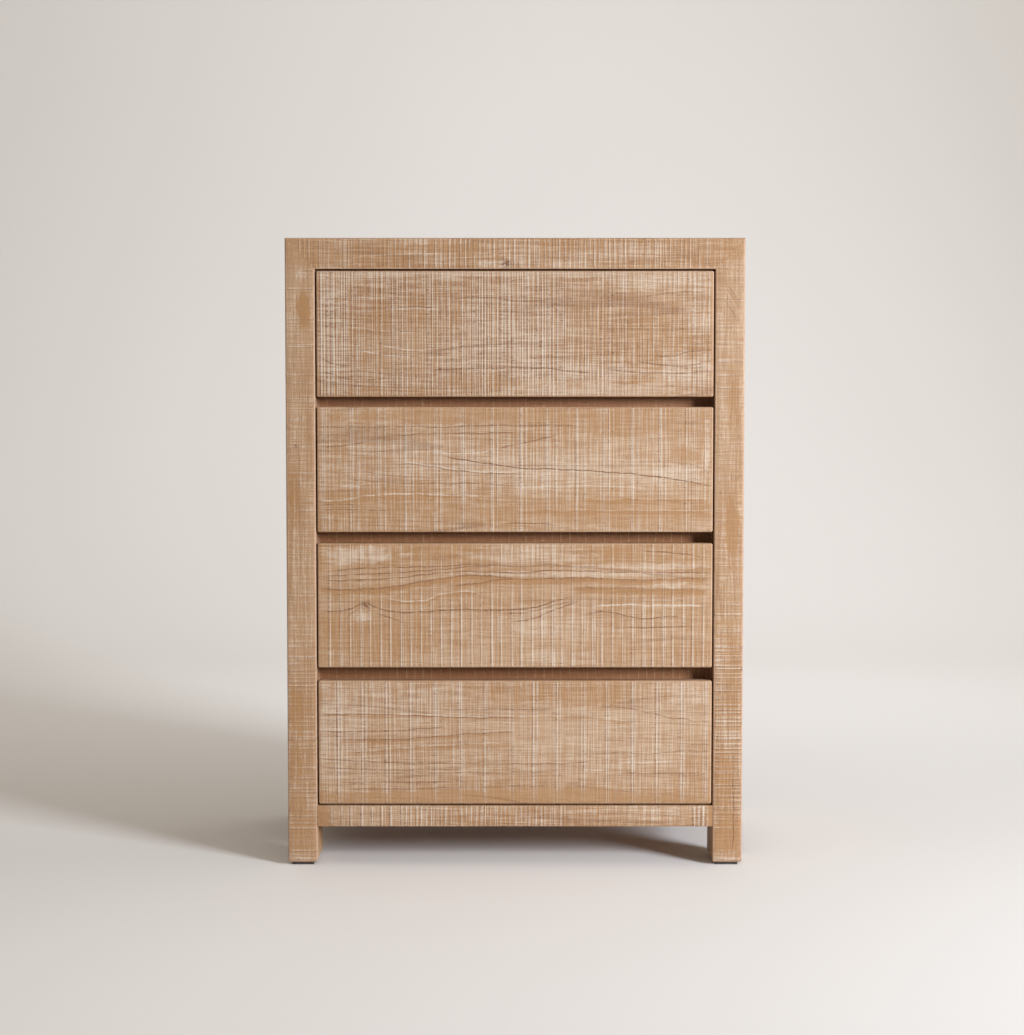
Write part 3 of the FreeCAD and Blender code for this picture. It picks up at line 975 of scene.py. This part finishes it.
panel_piece("left_side_panel", "z", "-x", 41)
panel_piece("right_side_panel", "z", "x", 47)
panel_piece("top_panel", "x", "z", 53)

# %% [markdown]
# ## Bottom rails and divider rails
# Thin rails tie the posts together below the drawers, flush with the frame. Three more lie back in
# the shadow of the finger gaps. They are cut from the same sawn stock, but their colours are darker,
# as painted shade of the gaps, and darker again for the second and the third.

# %% Rails
def rail_piece(node, grain, out, made, seed, **look):
    piece = start_board(node)[0]
    axis = "xyz".index(grain)
    ease(piece, lambda a, b: abs((b - a)[axis]) > 0.1, radius=0.0012, segments=2)
    divide(piece, **{grain: 0.0014 if out == "-y" else 0.0022, "z": 0.012})
    saw(piece, grain, made, (out,), seed)
    finish_board(piece, node, "case", grain, shift=seed * 0.3, count=5, **look)


bottom_strokes = strokes(-0.3225, -0.2, 0.0176, 3, width=0.0012, scatter=0.05)
bottom_strokes += strokes(-0.2, 0.1, PITCH, 61, strength=0.9, width=0.001, scatter=0.12, pairs=0.2)
bottom_strokes += strokes(-0.3, 0.1, 0.0045, 62, strength=0.35, width=0.0008, scatter=0.3)
bottom_strokes += strokes(0.1, 0.3, 0.0052, 63, strength=0.4, scatter=0.35)
bottom_strokes += strokes(0.3155, 0.34, 0.0077, 64, width=0.0019, scatter=0.02)
rail_piece(
    "front_bottom_rail", "x", "-y", bottom_strokes, 61, amount=0.04, worn=0.001,
    lines=[
        dark([(55, 55), (68, 60), (80, 62), (88, 55), (93, 48)], 1.4, 0.5, 0.3),
        dark([(60, 20), (75, 24), (92, 22)], 1.2, 0.5),
    ],
    white=[(200, 6, 100, 14, 0.5)],
    bare=[(-342, 0, 20, 60, 1), (347, 0, 12, 30, 1)],
)
rail_piece("rear_bottom_rail", "x", "y", bottom_strokes, 62)
side_strokes = strokes(-0.13, 0.13, PITCH, 71, strength=0.9, width=0.001, scatter=0.12, pairs=0.2)
rail_piece("left_side_rail", "y", "-x", side_strokes, 71)
rail_piece("right_side_rail", "y", "x", side_strokes, 72)
for number in (1, 2, 3):
    faint = strokes(-0.345, 0.345, 0.0152, 80 + number, strength=0.45 + 0.1 * number, width=0.0011)
    # the divider rails' colours are darkened, more with each number, as painted shade of the finger gaps
    painted_gap_shade = 5 * (number - 1)
    gap_shade_colours = {
        "Warm": paint(150 - painted_gap_shade, 102 - painted_gap_shade, 68 - painted_gap_shade),
        "Pale": paint(162 - painted_gap_shade, 115 - painted_gap_shade, 80 - painted_gap_shade),
        "Wash": paint(202 - painted_gap_shade, 164 - painted_gap_shade, 130 - painted_gap_shade),
    }
    rail_piece(
        f"divider_rail_{number}", "x", "-y", faint, 80 + number, amount=-0.12, weave=0.7, depth=0.25,
        **gap_shade_colours)

# %% [markdown]
# ## The drawer fronts
# The four fronts are the show of the piece. All four have the same size, but each was cut from another
# board, so the strokes differ: close and even on the top one, wide on the third, in clusters on the
# second and fourth. The back of each front is housed for the drawer sides and grooved for the bottom.

# %% Drawer fronts
def score(piece, pockets):
    """Cuts the outlines of the pockets into the board's faces."""
    level = {corner[0] for pocket in pockets for corner in pocket}
    upright = {corner[1] for pocket in pockets for corner in pocket}
    planes = [((place, 0, 0), (1, 0, 0)) for place in sorted(level)]
    planes += [((0, 0, place), (0, 0, 1)) for place in sorted(upright)]
    for point, normal in planes:
        pick_all_faces(piece)
        bpy.ops.mesh.bisect(plane_co=point, plane_no=normal)
        finish_edit()


def sink(piece, pockets, level, depth):
    """Pushes the faces at a level that lie in one of the pockets into the wood."""
    chosen = []
    for face in piece.data.polygons:
        spot = face.center
        inside = [low[0] < spot.x < high[0] and low[1] < spot.z < high[1] for low, high in pockets]
        chosen.append(any(inside) and abs(spot.y - level) < 0.0001)
    pick(piece, "polygons", np.array(chosen))
    bpy.ops.mesh.extrude_region_move(TRANSFORM_OT_translate={"value": (0, -depth, 0)})
    finish_edit()


def house(piece, number, rear):
    """Housings for the two drawer sides, and a shallower groove for the bottom between them."""
    slack = 0.0001
    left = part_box(f"drawer_{number}_left_side")
    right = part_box(f"drawer_{number}_right_side")
    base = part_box(f"drawer_{number}_bottom")
    housings = []
    for low, high in (left, right):
        housings.append(((low.x - slack, low.z - slack), (high.x + slack, high.z + slack)))
    groove_low = base[0].z - slack
    groove_high = base[1].z + slack
    groove_depth = rear - base[0].y + slack
    outline = ((housings[0][0][0], groove_low), (housings[1][1][0], groove_high))
    groove = ((left[0].x, groove_low), (right[1].x, groove_high))
    score(piece, [*housings, outline])
    sink(piece, [*housings, groove], rear, groove_depth)
    sink(piece, housings, rear - groove_depth, base[0].y - left[0].y)


def front_piece(number, made, seed, upper=1.0, **look):
    node = f"drawer_{number}_front"
    piece, low, high = start_board(node)
    face = low.y

    def is_show_edge(a, b):
        return max(a.y, b.y) < face + SAME or abs(a.y - b.y) > 0.01

    def is_back_edge(a, b):
        return min(a.y, b.y) > high.y - 0.0001 and (b - a).length > 0.1

    ease(piece, is_show_edge, radius=0.0032, segments=4)
    ease(piece, is_back_edge, radius=0.0008, segments=1)
    house(piece, number, high.y)
    divide(piece, x=0.0013, z=0.016)
    saw(piece, "x", made, ("-y",), seed, upper=upper)
    finish_board(piece, node, f"drawer_{number}", "x", shift=seed * 0.43, **look)


# %% [markdown]
# ### The top drawer
# Even strokes every 9 mm, thinner ones between, and quiet grain that rises and falls under them. Both
# ends hold more wash, and there is bare wood left of the middle.

# %% Top drawer
close = strokes(-0.336, 0.1, PITCH, 101, width=0.00095, scatter=0.06, pairs=0.3)
close += strokes(0.10048, 0.343, PITCH, 131, strength=0.75, width=0.00095, scatter=0.06, pairs=0.2)
close += strokes(-0.3316, 0.2, PITCH, 111, strength=0.6, width=0.0008, scatter=0.15)
close += strokes(-0.34, 0.34, 0.0031, 121, strength=0.3, width=0.0007, scatter=0.3)
front_piece(
    1, close, 201, amount=-0.03, weave=0.85, depth=1.3,
    lines=[
        cream([(5, 78.6), (15, 78.5), (19, 78)], 1.3, 0.8),
        dark([(32, 77.1), (37, 78), (40, 79.1), (51, 76.2), (57.5, 76.8), (68, 78.6)], 1.3, 0.7),
        dark([(16, 71.2), (25, 71.5), (31, 70.5)], 1.1, 0.7),
        cream([(16, 69.7), (25, 70.1), (33, 68.4)], 1.5, 0.8),
        cream([(6, 56), (12, 54.1), (19, 51.8), (26, 51.2)], 1.5, 0.7),
        cream([(10, 36.9), (14, 35.1), (19, 32.7), (30, 33)], 1.3, 0.9),
        cream([(13, 42.2), (17, 40.5), (22, 38.1), (30, 35.7)], 1.3, 0.9),
        cream([(27, 41), (34, 39.3), (42, 38.9), (60, 38.7)], 1.2, 0.7),
        dark([(0, 33), (2, 29.1), (5.4, 25.6), (10, 25)], 1.3, 0.8),
        dark([(0, 19.2), (3.5, 18.4), (6.1, 15.5), (10, 13.9), (14, 13.7), (19, 15.5)], 1.3, 0.9),
        dark([(8, 21), (13, 19.9), (20, 16.7)], 1.1, 0.7),
        dark([(28, 20.8), (35, 22.2), (45, 23), (60, 21.8), (67, 19), (70, 18.7)], 1.4, 0.9),
        dark([(31, 12.7), (35, 13.7), (41, 13.1), (52, 13.1)], 1.2, 0.5),
        dark([(81, 80.3), (85, 80.9), (89, 82.5), (99, 82.5)], 1.4, 0.8),
        dark([(84, 32.5), (90, 32.5), (92.5, 34.9), (95.6, 36.3), (100, 36.9)], 1.3, 0.9),
        dark([(79, 29.1), (82, 27.7), (87, 25.3), (93, 24.4), (96, 26.2), (100, 29.7)], 1.4, 0.9),
        dark([(73, 22.6), (76, 20.8), (79, 19.6), (86, 19), (93, 18.7), (96, 19.9), (100, 21)], 1.3, 1),
    ],
    white=[
        (-325, 0, 35, 110, 0.6), (0, 20, 100, 100, 0.3), (240, 95, 100, 22, 0.7), (300, -70, 60, 45, 0.8),
        (100, -70, 130, 30, 0.6), (160, -98, 200, 16, 0.9), (0, 104, 500, 7, 0.9), (320, 30, 30, 50, 0.5),
    ],
    bare=[
        (-200, -10, 100, 70, 0.4), (160, -96, 220, 20, 0.8), (-50, -85, 100, 15, 0.4), (0, 104, 500, 6, 0.6),
        (-200, -100, 120, 12, 0.4),
    ],
)

# %% [markdown]
# ### The second drawer
# Clusters of fine strokes every 49 mm. A long thin grain line falls towards the right end, where a
# narrow worn strip and a brown flame sit beside it.

# %% Second drawer
clusters = strokes(-0.336, 0.34, 0.049, 102, width=0.001, scatter=0.04, pairs=1.0)
clusters += strokes(-0.325, 0.33, 0.049, 122, strength=0.7)
clusters += strokes(-0.34, 0.34, 0.0058, 112, strength=0.5, width=0.0008, scatter=0.3, pairs=0.2)
front_piece(
    2, clusters, 202, amount=0.09, weave=0.7,
    lines=[
        dark([(0, 84.4), (13, 83.7), (25, 84.4), (30, 83.7), (41, 84.9), (67, 85.3)], 1.4, 0.9),
        dark([(0, 68.3), (6, 69), (10.5, 70.8), (16, 75.2), (24, 78), (41, 78.8), (51, 79.8)], 1.4, 0.9),
        dark([(31, 61.8), (35, 58.7), (44, 54.5), (52, 51), (60, 50.3), (75, 47.6), (86, 44.3), (93, 40.7),
              (100, 36.5)], 1.3, 1.3),
        dark([(21, 56.3), (25, 53.9), (30, 51.9), (35, 49.1), (51, 46.7)], 1.4, 0.8),
        cream([(21, 57.3), (25, 54.9), (30, 52.9), (35, 50.1), (51, 47.7)], 1.2, 0.9),
        cream([(29, 64.2), (35, 62.7), (40, 63.2), (45, 66)], 1.4, 0.8),
        dark([(45, 66), (51, 70.8), (55, 73.5), (61.5, 77.7)], 1.4, 0.9),
        dark([(8, 49.7), (13, 47.9), (18, 45.5), (30, 43.7)], 1.2, 0.6),
        dark([(7, 42.5), (18, 40), (32, 38.8), (41, 38.8), (51, 36.4)], 1.3, 0.8),
        cream([(4, 37.3), (9, 37), (12.5, 37.6)], 2, 1),
        cream([(0, 24.4), (7, 26.2), (13, 29.2), (24, 31), (30, 29.8), (42, 29.2)], 1.7, 0.9, 0.5),
        dark([(0, 17.1), (8, 18.3), (13, 17.7), (19, 17.1)], 1.4, 1),
        dark([(0, 21.5), (5, 22.2), (12, 22)], 1.3, 0.9),
        cream([(48, 35.8), (61, 36.2), (67, 37), (75, 36.4), (84, 35.2)], 1.4, 0.6),
        cream([(67, 26.2), (80, 26.8), (88, 26.5), (100, 26.8)], 1.4, 0.6, 0.7),
        cream([(50, 17.2), (65, 17.6), (82, 17.4), (100, 17)], 1.4, 0.4, 0.6),
        dark([(87, 57.5), (92, 55.1), (95, 53.3), (98.5, 49.5)], 1.4, 0.5),
        dark([(46, 6.2), (52, 7), (56, 6.5), (61, 5.7)], 1.3, 1),
    ],
    white=[
        (-190, 35, 100, 22, 0.5), (0, 0, 360, 35, 0.35), (290, -5, 60, 20, 0.6), (335, 30, 5, 60, 0.8),
    ],
    bare=[
        (-50, 94, 300, 16, 0.8), (200, 85, 200, 30, 0.4), (300, 22, 30, 16, 1), (100, -75, 300, 30, 0.6),
        (250, -80, 120, 30, 0.5), (-250, -60, 120, 35, 0.4),
    ],
)

# %% [markdown]
# ### The third drawer
# The liveliest board: wide strokes every 18 mm in its lower half, grain that flows in long waves over
# the upper half with bare wood between, and a small knot near the left end.

# %% Third drawer
wide = strokes(-0.3234, 0.34, 0.01765, 103, width=0.0012, scatter=0.02, pairs=0.35, gap=0.0042)
wide += strokes(-0.3146, 0.34, 0.01765, 113, strength=0.35)
wide += strokes(-0.34, 0.34, 0.0044, 123, strength=0.2, width=0.0008, scatter=0.3)
front_piece(
    3, wide, 203, upper=0.6, amount=0.05, weave=0.65,
    lines=[
        dark([(3, 78), (16, 80.3), (31, 81.5), (39, 82.7), (51, 81.5), (59, 82.7), (67, 81.2),
              (72, 81.7)], 1.3, 1),
        dark([(1, 73.8), (16, 75.6), (31, 79), (39, 81), (47, 82.1)], 1.3, 1),
        dark([(0, 70), (14, 70.8), (21, 72.6), (34, 76.8), (51, 76.4), (59, 78.1), (67, 77.7), (73, 76.9),
              (90, 76.5), (100, 76)], 1.4, 1.1),
        dark([(0, 63.7), (14, 63.4), (21, 66.4), (27, 69.6), (39, 74.1), (51, 71.6), (61, 71.9), (67, 72.5),
              (72, 71.7), (79, 70.5), (90, 71.5), (100, 71.2)], 1.6, 0.9, 1),
        dark([(33, 65.5), (39, 67.2), (47, 70.8), (51, 71.4)], 1.3, 0.9, 0.4),
        dark([(64, 64.8), (75, 64.2), (92, 63), (100, 62.6)], 2.2, 0.5, 0.9),
        cream([(16, 57), (21, 54.1), (27, 54.1), (31, 58.9), (36, 61), (42, 60.1)], 1.4, 0.9, 0.4),
        dark([(0, 45.2), (8, 47), (10, 50), (12, 51.8), (14, 49.5), (18, 45.6), (27, 44.9), (33, 46.4),
              (51, 47), (57, 49.9), (61, 54.6), (64.5, 56.4)], 1.5, 1.2),
        dark([(6, 35), (9, 45), (11.5, 50)], 1.7, 0.7),
        dark([(13.5, 47), (15.5, 43.2), (18.5, 40.1), (22.5, 36.3)], 1.4, 0.9),
        dark([(46, 43), (54, 45.1), (57, 47), (62, 52), (67, 54)], 1.4, 0.7),
        dark([(48, 36.5), (54, 39.1), (59, 45.1), (62, 49), (67, 54)], 1.5, 0.9),
        cream([(69, 49.3), (75, 50.5), (84, 50.2), (99, 49.9)], 1.7, 1),
        dark([(67, 40.9), (69, 43.3), (72, 45.1), (76, 43.5), (79, 40.7), (83, 39.7), (90, 41.1),
              (93, 40.3)], 1.4, 1.1),
        dark([(73.5, 31.4), (79, 32), (84, 32.3), (95, 33)], 1.3, 1),
        dark([(81, 94.6), (88, 92.8), (92.5, 91), (100, 88)], 1.3, 1),
    ],
    knots=[(-262, 1, 5.5)],
    white=[
        (-270, 88, 80, 18, 0.9), (20, 88, 120, 18, 0.7), (220, 68, 130, 6, 0.8), (100, 55, 250, 6, 0.7),
        (270, 40, 30, 10, 0.8), (-268, -20, 20, 9, 0.8), (60, -30, 100, 30, 0.35), (70, -90, 60, 15, 0.4),
    ],
    bare=[
        (-100, 93, 80, 14, 0.5), (-250, -45, 130, 90, 0.5), (140, 95, 80, 12, 0.5), (150, -80, 150, 30, 0.2),
    ],
)

# %% [markdown]
# ### The bottom drawer
# Pairs of strokes every 43 mm over a close hatch, slow cream lines that sag and rise, and a smooth
# warm band along the foot of the board.

# %% Bottom drawer
woven = strokes(-0.312, 0.34, 0.0431, 104, width=0.001, scatter=0.04, pairs=1.0, gap=0.0045)
woven += strokes(-0.34, 0.34, 0.0027, 114, strength=0.42, width=0.0007, scatter=0.3)
front_piece(
    4, woven, 204, amount=0.05, weave=0.7,
    lines=[
        cream([(0, 73.3), (13, 73.6), (25, 72.7), (37, 71), (53, 71.3), (61, 71.6), (67, 71.6), (75, 68.5),
               (81, 65.5)], 1.4, 0.55, 0.5),
        dark([(0, 72.2), (13, 72.5), (25, 71.6), (37, 69.9), (53, 70.2)], 1.2, 0.9),
        dark([(29, 77.6), (37, 76.4), (51, 77), (61, 76.4)], 1.4, 0.8),
        dark([(0, 58.8), (13, 58.8), (24, 60.6), (33, 62.4)], 1.4, 0.8),
        dark([(3, 52.1), (20, 52.7), (29, 54.6), (39, 57), (51, 58.6)], 1.4, 0.8, 0.5),
        cream([(5, 43), (13, 43.3), (18, 44.9), (29, 47.3), (41, 49.1), (51, 49.7)], 1.3, 0.5, 0.5),
        dark([(0, 36.4), (7, 35.5), (16, 34), (33, 33.1), (51, 32.4), (61, 32.7), (70, 34.5)], 1.3, 0.9),
        dark([(0, 29.7), (7, 28.8), (13, 27.9), (26, 27.9), (37, 27.5)], 1.3, 0.8),
        dark([(0, 25.5), (22, 24.9), (45, 25.4), (60, 25)], 1.2, 0.7),
        dark([(4, 17.8), (20, 17.8), (35, 18)], 1.5, 0.8),
        dark([(7, 12.8), (20, 12.4), (39, 13.7), (60, 14)], 1.5, 0.7),
        dark([(70, 78.8), (75, 78.8), (80.5, 76.4), (85.5, 73.1), (90, 69.5), (93, 68.7),
              (96, 66.1)], 1.4, 0.8),
        cream([(75, 32.8), (80, 33.6), (86, 34), (92, 34.6)], 1.5, 0.9),
        dark([(63, 40.6), (69, 40.6), (75, 41.6), (84, 40.6), (92, 42.8), (100, 42.4)], 1.3, 0.7),
        cream([(66, 27), (75, 27.9)], 1.4, 0.9),
        dark([(75, 24.9), (84, 24.6), (100, 24.9)], 1.3, 1),
    ],
    white=[
        (-310, 20, 50, 90, 0.5), (300, 80, 35, 30, 0.4), (-180, 70, 150, 35, 0.4), (0, -30, 360, 30, 0.2),
    ],
    bare=[(0, -100, 420, 20, 1), (130, 85, 60, 30, 0.6), (0, 85, 80, 20, 0.3)],
)

# %% [markdown]
# ## Planed wood
# The drawer boxes are planed and clear, so the tree's rings show. Rings are tubes round the heart of the
# tree, and a board is a slice of them. The pattern is therefore solid: the same tubes give long
# flames on a face and arcs on its end, with no seam at the corner between the two.

# %% Growth rings group
inputs = {"Board": ORIGIN, "Heart": (0, 0.02, 0.05), "Spacing": 0.0035}
tree_rings, entry, leave = start_group("tree_rings", inputs, ("Late", "Fibre", "Pores"))
offset = vector_calc("SUBTRACT", entry["Board"], entry["Heart"])
distance = vector_calc("LENGTH", vector_calc("MULTIPLY", offset, (0.03, 1, 1)))
bend = fade(cloud(entry["Board"], (2.2, 14, 14), 2, 0.5), 0.1, 0.9, -0.012, 0.012)
ring = calc("FRACT", calc("DIVIDE", total(distance, bend), entry["Spacing"]))
feed(leave, {
    "Late": product(fade(ring, 0.3, 0.9), fade(ring, 1.0, 0.92)),
    "Fibre": fade(cloud(entry["Board"], (9, 650, 650), 3, 0.6), 0.3, 0.7),
    "Pores": fade(cloud(entry["Board"], (55, 1500, 1500), 2, 0.5), 0.6, 0.72),
})
print("group", tree_rings.name)

# %% [markdown]
# A CAD part that keeps its shape only needs its finish. It goes into the material slot that the part
# came with. The board's own directions come from its box again, with the grain along its length.

# %% Planed finish
def dress(node, material):
    """Gives a CAD part that keeps its shape its finish."""
    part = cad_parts[node]
    for holder in part.material_slots:
        holder.material = material


def planed_finish(name, node, grain, heart, spacing, early=paint(207, 172, 132), late=paint(178, 136, 96)):
    material, shader = new_material(name)
    low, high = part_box(node)
    place = split(board_coordinates((low + high) / 2, grain))
    board = join(place[0], place[2], place[1])
    rings = use(tree_rings, {"Board": board, "Heart": heart, "Spacing": spacing})
    slow = fade(cloud(board, (2, 11, 11), 2, 0.5), 0.3, 0.7)
    wood = mix(product(slow, 0.35), early, late)
    wood = mix(product(rings["Late"], 0.5), wood, late)
    wood = mix(product(rings["Fibre"], 0.22), wood, paint(150, 108, 74))
    wood = mix(product(rings["Pores"], 0.45), wood, grain_and_pit_shade_brown)
    roughness = fade(rings["Fibre"], 0.0, 1.0, 0.42, 0.56)
    relief = product(total(rings["Late"], product(rings["Pores"], -2.0)), 0.5)
    coat(shader, wood, roughness, relief, strength=0.35, distance=0.0002, specular=0.4)
    return material


for number in range(1, 5):
    for turn, part in enumerate(("left_side", "right_side", "back")):
        node = f"drawer_{number}_{part}"
        grain = "x" if part == "back" else "y"
        heart = (0, 0.03 * (number - 2.5) - 0.02 * turn, 0.05 + 0.012 * number)
        dress(node, planed_finish(node, node, grain, heart, 0.003 + 0.0004 * turn))
far_heart = (0, 0.4, 0.6)
for node, name, spacing, early in (
    ("rail_dowels", "dowel_wood", 0.0016, paint(220, 188, 146)),
    ("mitre_splines", "spline_wood", 0.0022, paint(214, 180, 140)),
):
    dress(node, planed_finish(name, node, "x", far_heart, spacing, early))
print("planed: 12 drawer boards, the dowels and the splines")

# %% [markdown]
# ## Plywood
# The case bottom, the back and the drawer bottoms are thin boards of glued veneers, each turned across
# the last. The pattern is solid again: the height in the board tells which veneer is there, so the
# edge shows its layers, and the face shows only the outer one.

# %% Veneers group
inputs = {"Board": ORIGIN, "Thickness": 0.006, "Layers": 5.0}
veneers, entry, leave = start_group("veneers", inputs, ("Crossed", "Glue", "Grain"))
place = split(entry["Board"])
height = total(product(calc("DIVIDE", place[2], entry["Thickness"]), 0.998), 0.5)
layer = product(height, entry["Layers"])
crossed = calc("MODULO", calc("FLOOR", layer), 2.0)
joint = calc("ABSOLUTE", calc("SUBTRACT", calc("FRACT", layer), 0.5))
flames = calc("SINE", product(cloud(entry["Board"], (1.3, 10, 10), 2, 0.5), 75.0))
straight = cloud(entry["Board"], (5, 420, 420), 3, 0.6)
turned = cloud(entry["Board"], (420, 5, 420), 3, 0.6)
faced = total(fade(flames, -0.2, 1.0, 0.0, 0.55), fade(straight, 0.3, 0.7, 0.0, 0.45))
feed(leave, {
    "Crossed": crossed,
    "Glue": fade(joint, 0.43, 0.49),
    "Grain": step("Mix", {0: crossed, 2: faced, 3: turned}, data_type="FLOAT").outputs[0],
})
print("group", veneers.name)

# %% [markdown]
# The outer veneer is lighter than the ones that show their ends. A board that stands has its layers
# one behind the other, and one that lies has them one above the other.

# %% Plywood finish
def plywood_finish(name, node, lying, layers, light=paint(205, 172, 131), deep=paint(172, 133, 94)):
    material, shader = new_material(name)
    low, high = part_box(node)
    board = board_coordinates((low + high) / 2, "x" if lying else "z")
    thickness = (high - low).z
    if not lying:
        place = split(board)
        board = join(place[0], place[2], place[1])
        thickness = (high - low).y
    stack = use(veneers, {"Board": board, "Thickness": thickness, "Layers": layers})
    face = mix(stack["Grain"], light, deep)
    end = mix(stack["Grain"], paint(168, 128, 88), paint(140, 101, 68))
    wood = mix(stack["Crossed"], face, end)
    wood = mix(product(stack["Glue"], 0.6), wood, grain_and_pit_shade_brown)
    specks = fade(cloud(board, (90, 240, 240), 2, 0.5), 0.68, 0.78)
    wood = mix(product(specks, 0.35), wood, grain_and_pit_shade_brown)
    roughness = fade(stack["Grain"], 0.0, 1.0, 0.5, 0.66)
    relief = product(stack["Grain"], -1.0)
    coat(shader, wood, roughness, relief, strength=0.3, distance=0.0002, specular=0.35)
    return material


dress("back_panel", plywood_finish("back_plywood", "back_panel", lying=False, layers=5))
stained = {"light": paint(190, 130, 80), "deep": paint(160, 100, 60)}
dress("bottom_panel", plywood_finish("case_bottom_plywood", "bottom_panel", lying=True, layers=7, **stained))
for number in range(1, 5):
    node = f"drawer_{number}_bottom"
    dress(node, plywood_finish(f"drawer_bottom_plywood_{number}", node, lying=True, layers=5))
print("plywood: back, case bottom and 4 drawer bottoms")

# %% [markdown]
# ## Zinc and plastic
# Runners are rolled from strip and zinc plated, so they show long rolling lines, and a cloudy film that
# is a little bluish here and yellowish there. Screws share the zinc, with a coarser grain from the
# tumbling barrel.

# %% Zinc film group
inputs = {"Spot": ORIGIN, "Lines": 1.0}
zinc_film, entry, leave = start_group("zinc_film", inputs, ("Film", "Rolled", "Dull"))
film = cloud(entry["Spot"], (45, 12, 45), 3, 0.55)
rolled = cloud(entry["Spot"], (1400, 6, 1400), 3, 0.6)
spots = cloud(entry["Spot"], (260, 160, 260), 3, 0.6)
feed(leave, {
    "Film": fade(film, 0.32, 0.68),
    "Rolled": product(fade(rolled, 0.3, 0.7), entry["Lines"]),
    "Dull": fade(spots, 0.5, 0.75),
})
print("group", zinc_film.name)

# %% [markdown]
# The glides are dark moulded plastic, mottled, and scuffed on the floor.

# %% Zinc and plastic finishes
def zinc_finish(name, bluish, yellowish, lines, matt):
    material, shader = new_material(name)
    film = use(zinc_film, {"Spot": object_place(), "Lines": lines})
    colour = mix(film["Film"], bluish, yellowish)
    colour = mix(product(film["Dull"], 0.4), colour, paint(140, 140, 138))
    gloss = total(product(film["Dull"], 0.18), product(film["Rolled"], 0.08), matt)
    coat(shader, colour, gloss, total(film["Rolled"], film["Dull"]), strength=0.15, distance=0.0001)
    shader.inputs["Metallic"].default_value = 1.0
    return material


def plastic_finish(name):
    material, shader = new_material(name)
    spot = object_place()
    mottle = cloud(spot, (180, 180, 180), 3, 0.6)
    scuffs = fade(cloud(spot, (60, 900, 900), 2, 0.6), 0.6, 0.75)
    colour = mix(mottle, paint(44, 37, 33), paint(60, 52, 46))
    colour = mix(product(scuffs, 0.5), colour, paint(110, 100, 92))
    coat(shader, colour, fade(mottle, 0.3, 0.7, 0.5, 0.68), mottle, strength=0.25, distance=0.0002)
    return material


runner_zinc = zinc_finish("runner_zinc", paint(196, 201, 207), paint(208, 205, 194), lines=1.0, matt=0.27)
screw_zinc = zinc_finish("screw_zinc", paint(186, 190, 196), paint(200, 194, 178), lines=0.0, matt=0.34)
dress("left_outer_runners", runner_zinc)
dress("right_outer_runners", runner_zinc)
dress("runner_screws", screw_zinc)
for number in range(1, 5):
    dress(f"runner_{number}_left_middle", runner_zinc)
    dress(f"runner_{number}_right_middle", runner_zinc)
    dress(f"drawer_{number}_inner_runners", runner_zinc)
    dress(f"drawer_{number}_screws", screw_zinc)
dress("foot_glides", plastic_finish("glide_plastic"))
print("zinc and plastic done; parts shown by their CAD shape:",
      sum(not part.hide_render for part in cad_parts.values()))

# %% [markdown]
# ## The studio
# The photograph is taken in a plain pale room. One sheet of paper makes floor and wall, with a wide bend
# between them, so that no line shows behind the piece. It starts as a plane, and its far edge is
# extruded along the bend in small steps.

# %% Paper
paper_size = 16
paper_shift = -5.4
bend_radius = 3.2
bend_steps = 16
wall_height = 3
bpy.context.scene.view_settings.view_transform = "Standard"
bpy.ops.object.select_all(action="DESELECT")
bpy.ops.mesh.primitive_plane_add(size=paper_size, location=ORIGIN)
floor = bpy.context.active_object
floor.name = "studio_floor"
bpy.ops.object.mode_set(mode="EDIT")
bpy.ops.mesh.select_all(action="SELECT")
bpy.ops.transform.translate(value=(0, paper_shift, 0))
finish_edit()
is_far = corners_of(floor.data)[:, :, 1].min(axis=1) > 2
pick(floor, "edges", is_far)
reach = bend_radius * math.pi / 2 / bend_steps
for turn in range(bend_steps):
    angle = math.radians(90 * (turn + 0.5) / bend_steps)
    bpy.ops.mesh.extrude_region_move(
        TRANSFORM_OT_translate={"value": (0, reach * math.cos(angle), reach * math.sin(angle))})
bpy.ops.mesh.extrude_region_move(TRANSFORM_OT_translate={"value": (0, 0, wall_height)})
finish_edit()
bpy.ops.object.shade_smooth()
paper, shader = new_material("studio_paper")
slow = cloud(object_place(), (0.6, 0.6, 0.6))
feed(shader, {
    "Base Color": mix(slow, paint(231, 229, 226), paint(235, 233, 230)),
    "Roughness": 0.8,
    "Specular IOR Level": 0.2,
})
floor.data.materials.append(paper)
print("paper", len(floor.data.polygons), "faces")

# %% [markdown]
# ## The light
# A large window to the right, in front of the piece and not much higher than it, draws the shadow to the
# left and back, and lets a patch of light in under the right side. A second lamp brightens the
# wall, and a weak one overhead lifts the floor before the piece. The rest is even, warm room light.

# %% Lamps and room light
def area_light(name, place, aim, size, power, colour, spread=180):
    data = bpy.data.lights.new(name, "AREA")
    data.shape = "SQUARE"
    data.size = size
    data.energy = power
    data.color = colour
    data.spread = math.radians(spread)
    lamp = bpy.data.objects.new(name, data)
    lamp.location = place
    lamp.rotation_euler = (Vector(aim) - Vector(place)).to_track_quat("-Z", "Y").to_euler()
    bpy.context.scene.collection.objects.link(lamp)


area_light(
    "window", place=(3.7, -3.35, 1.68), aim=(-0.5, 1.3, 0.2),
    size=1.35, power=108, colour=(0.87, 0.92, 1.0), spread=95)
area_light(
    "wall_wash", place=(1.1, 1.4, 3.1), aim=(0.0, 5.8, 1.3),
    size=2.2, power=62, colour=(0.95, 0.97, 1.0))
area_light(
    "floor_lift", place=(-0.5, -1.15, 2.6), aim=(-0.5, -1.149, 0.0),
    size=1.2, power=0.9, colour=(0.97, 0.98, 1.0), spread=56)
world = bpy.data.worlds.new("studio")
bpy.context.scene.world = world
world.use_nodes = True
room = world.node_tree.nodes["Background"]
room.inputs["Color"].default_value = (1.0, 0.89, 0.77, 1)
room.inputs["Strength"].default_value = 0.44
print("lamps", len(bpy.data.lights))
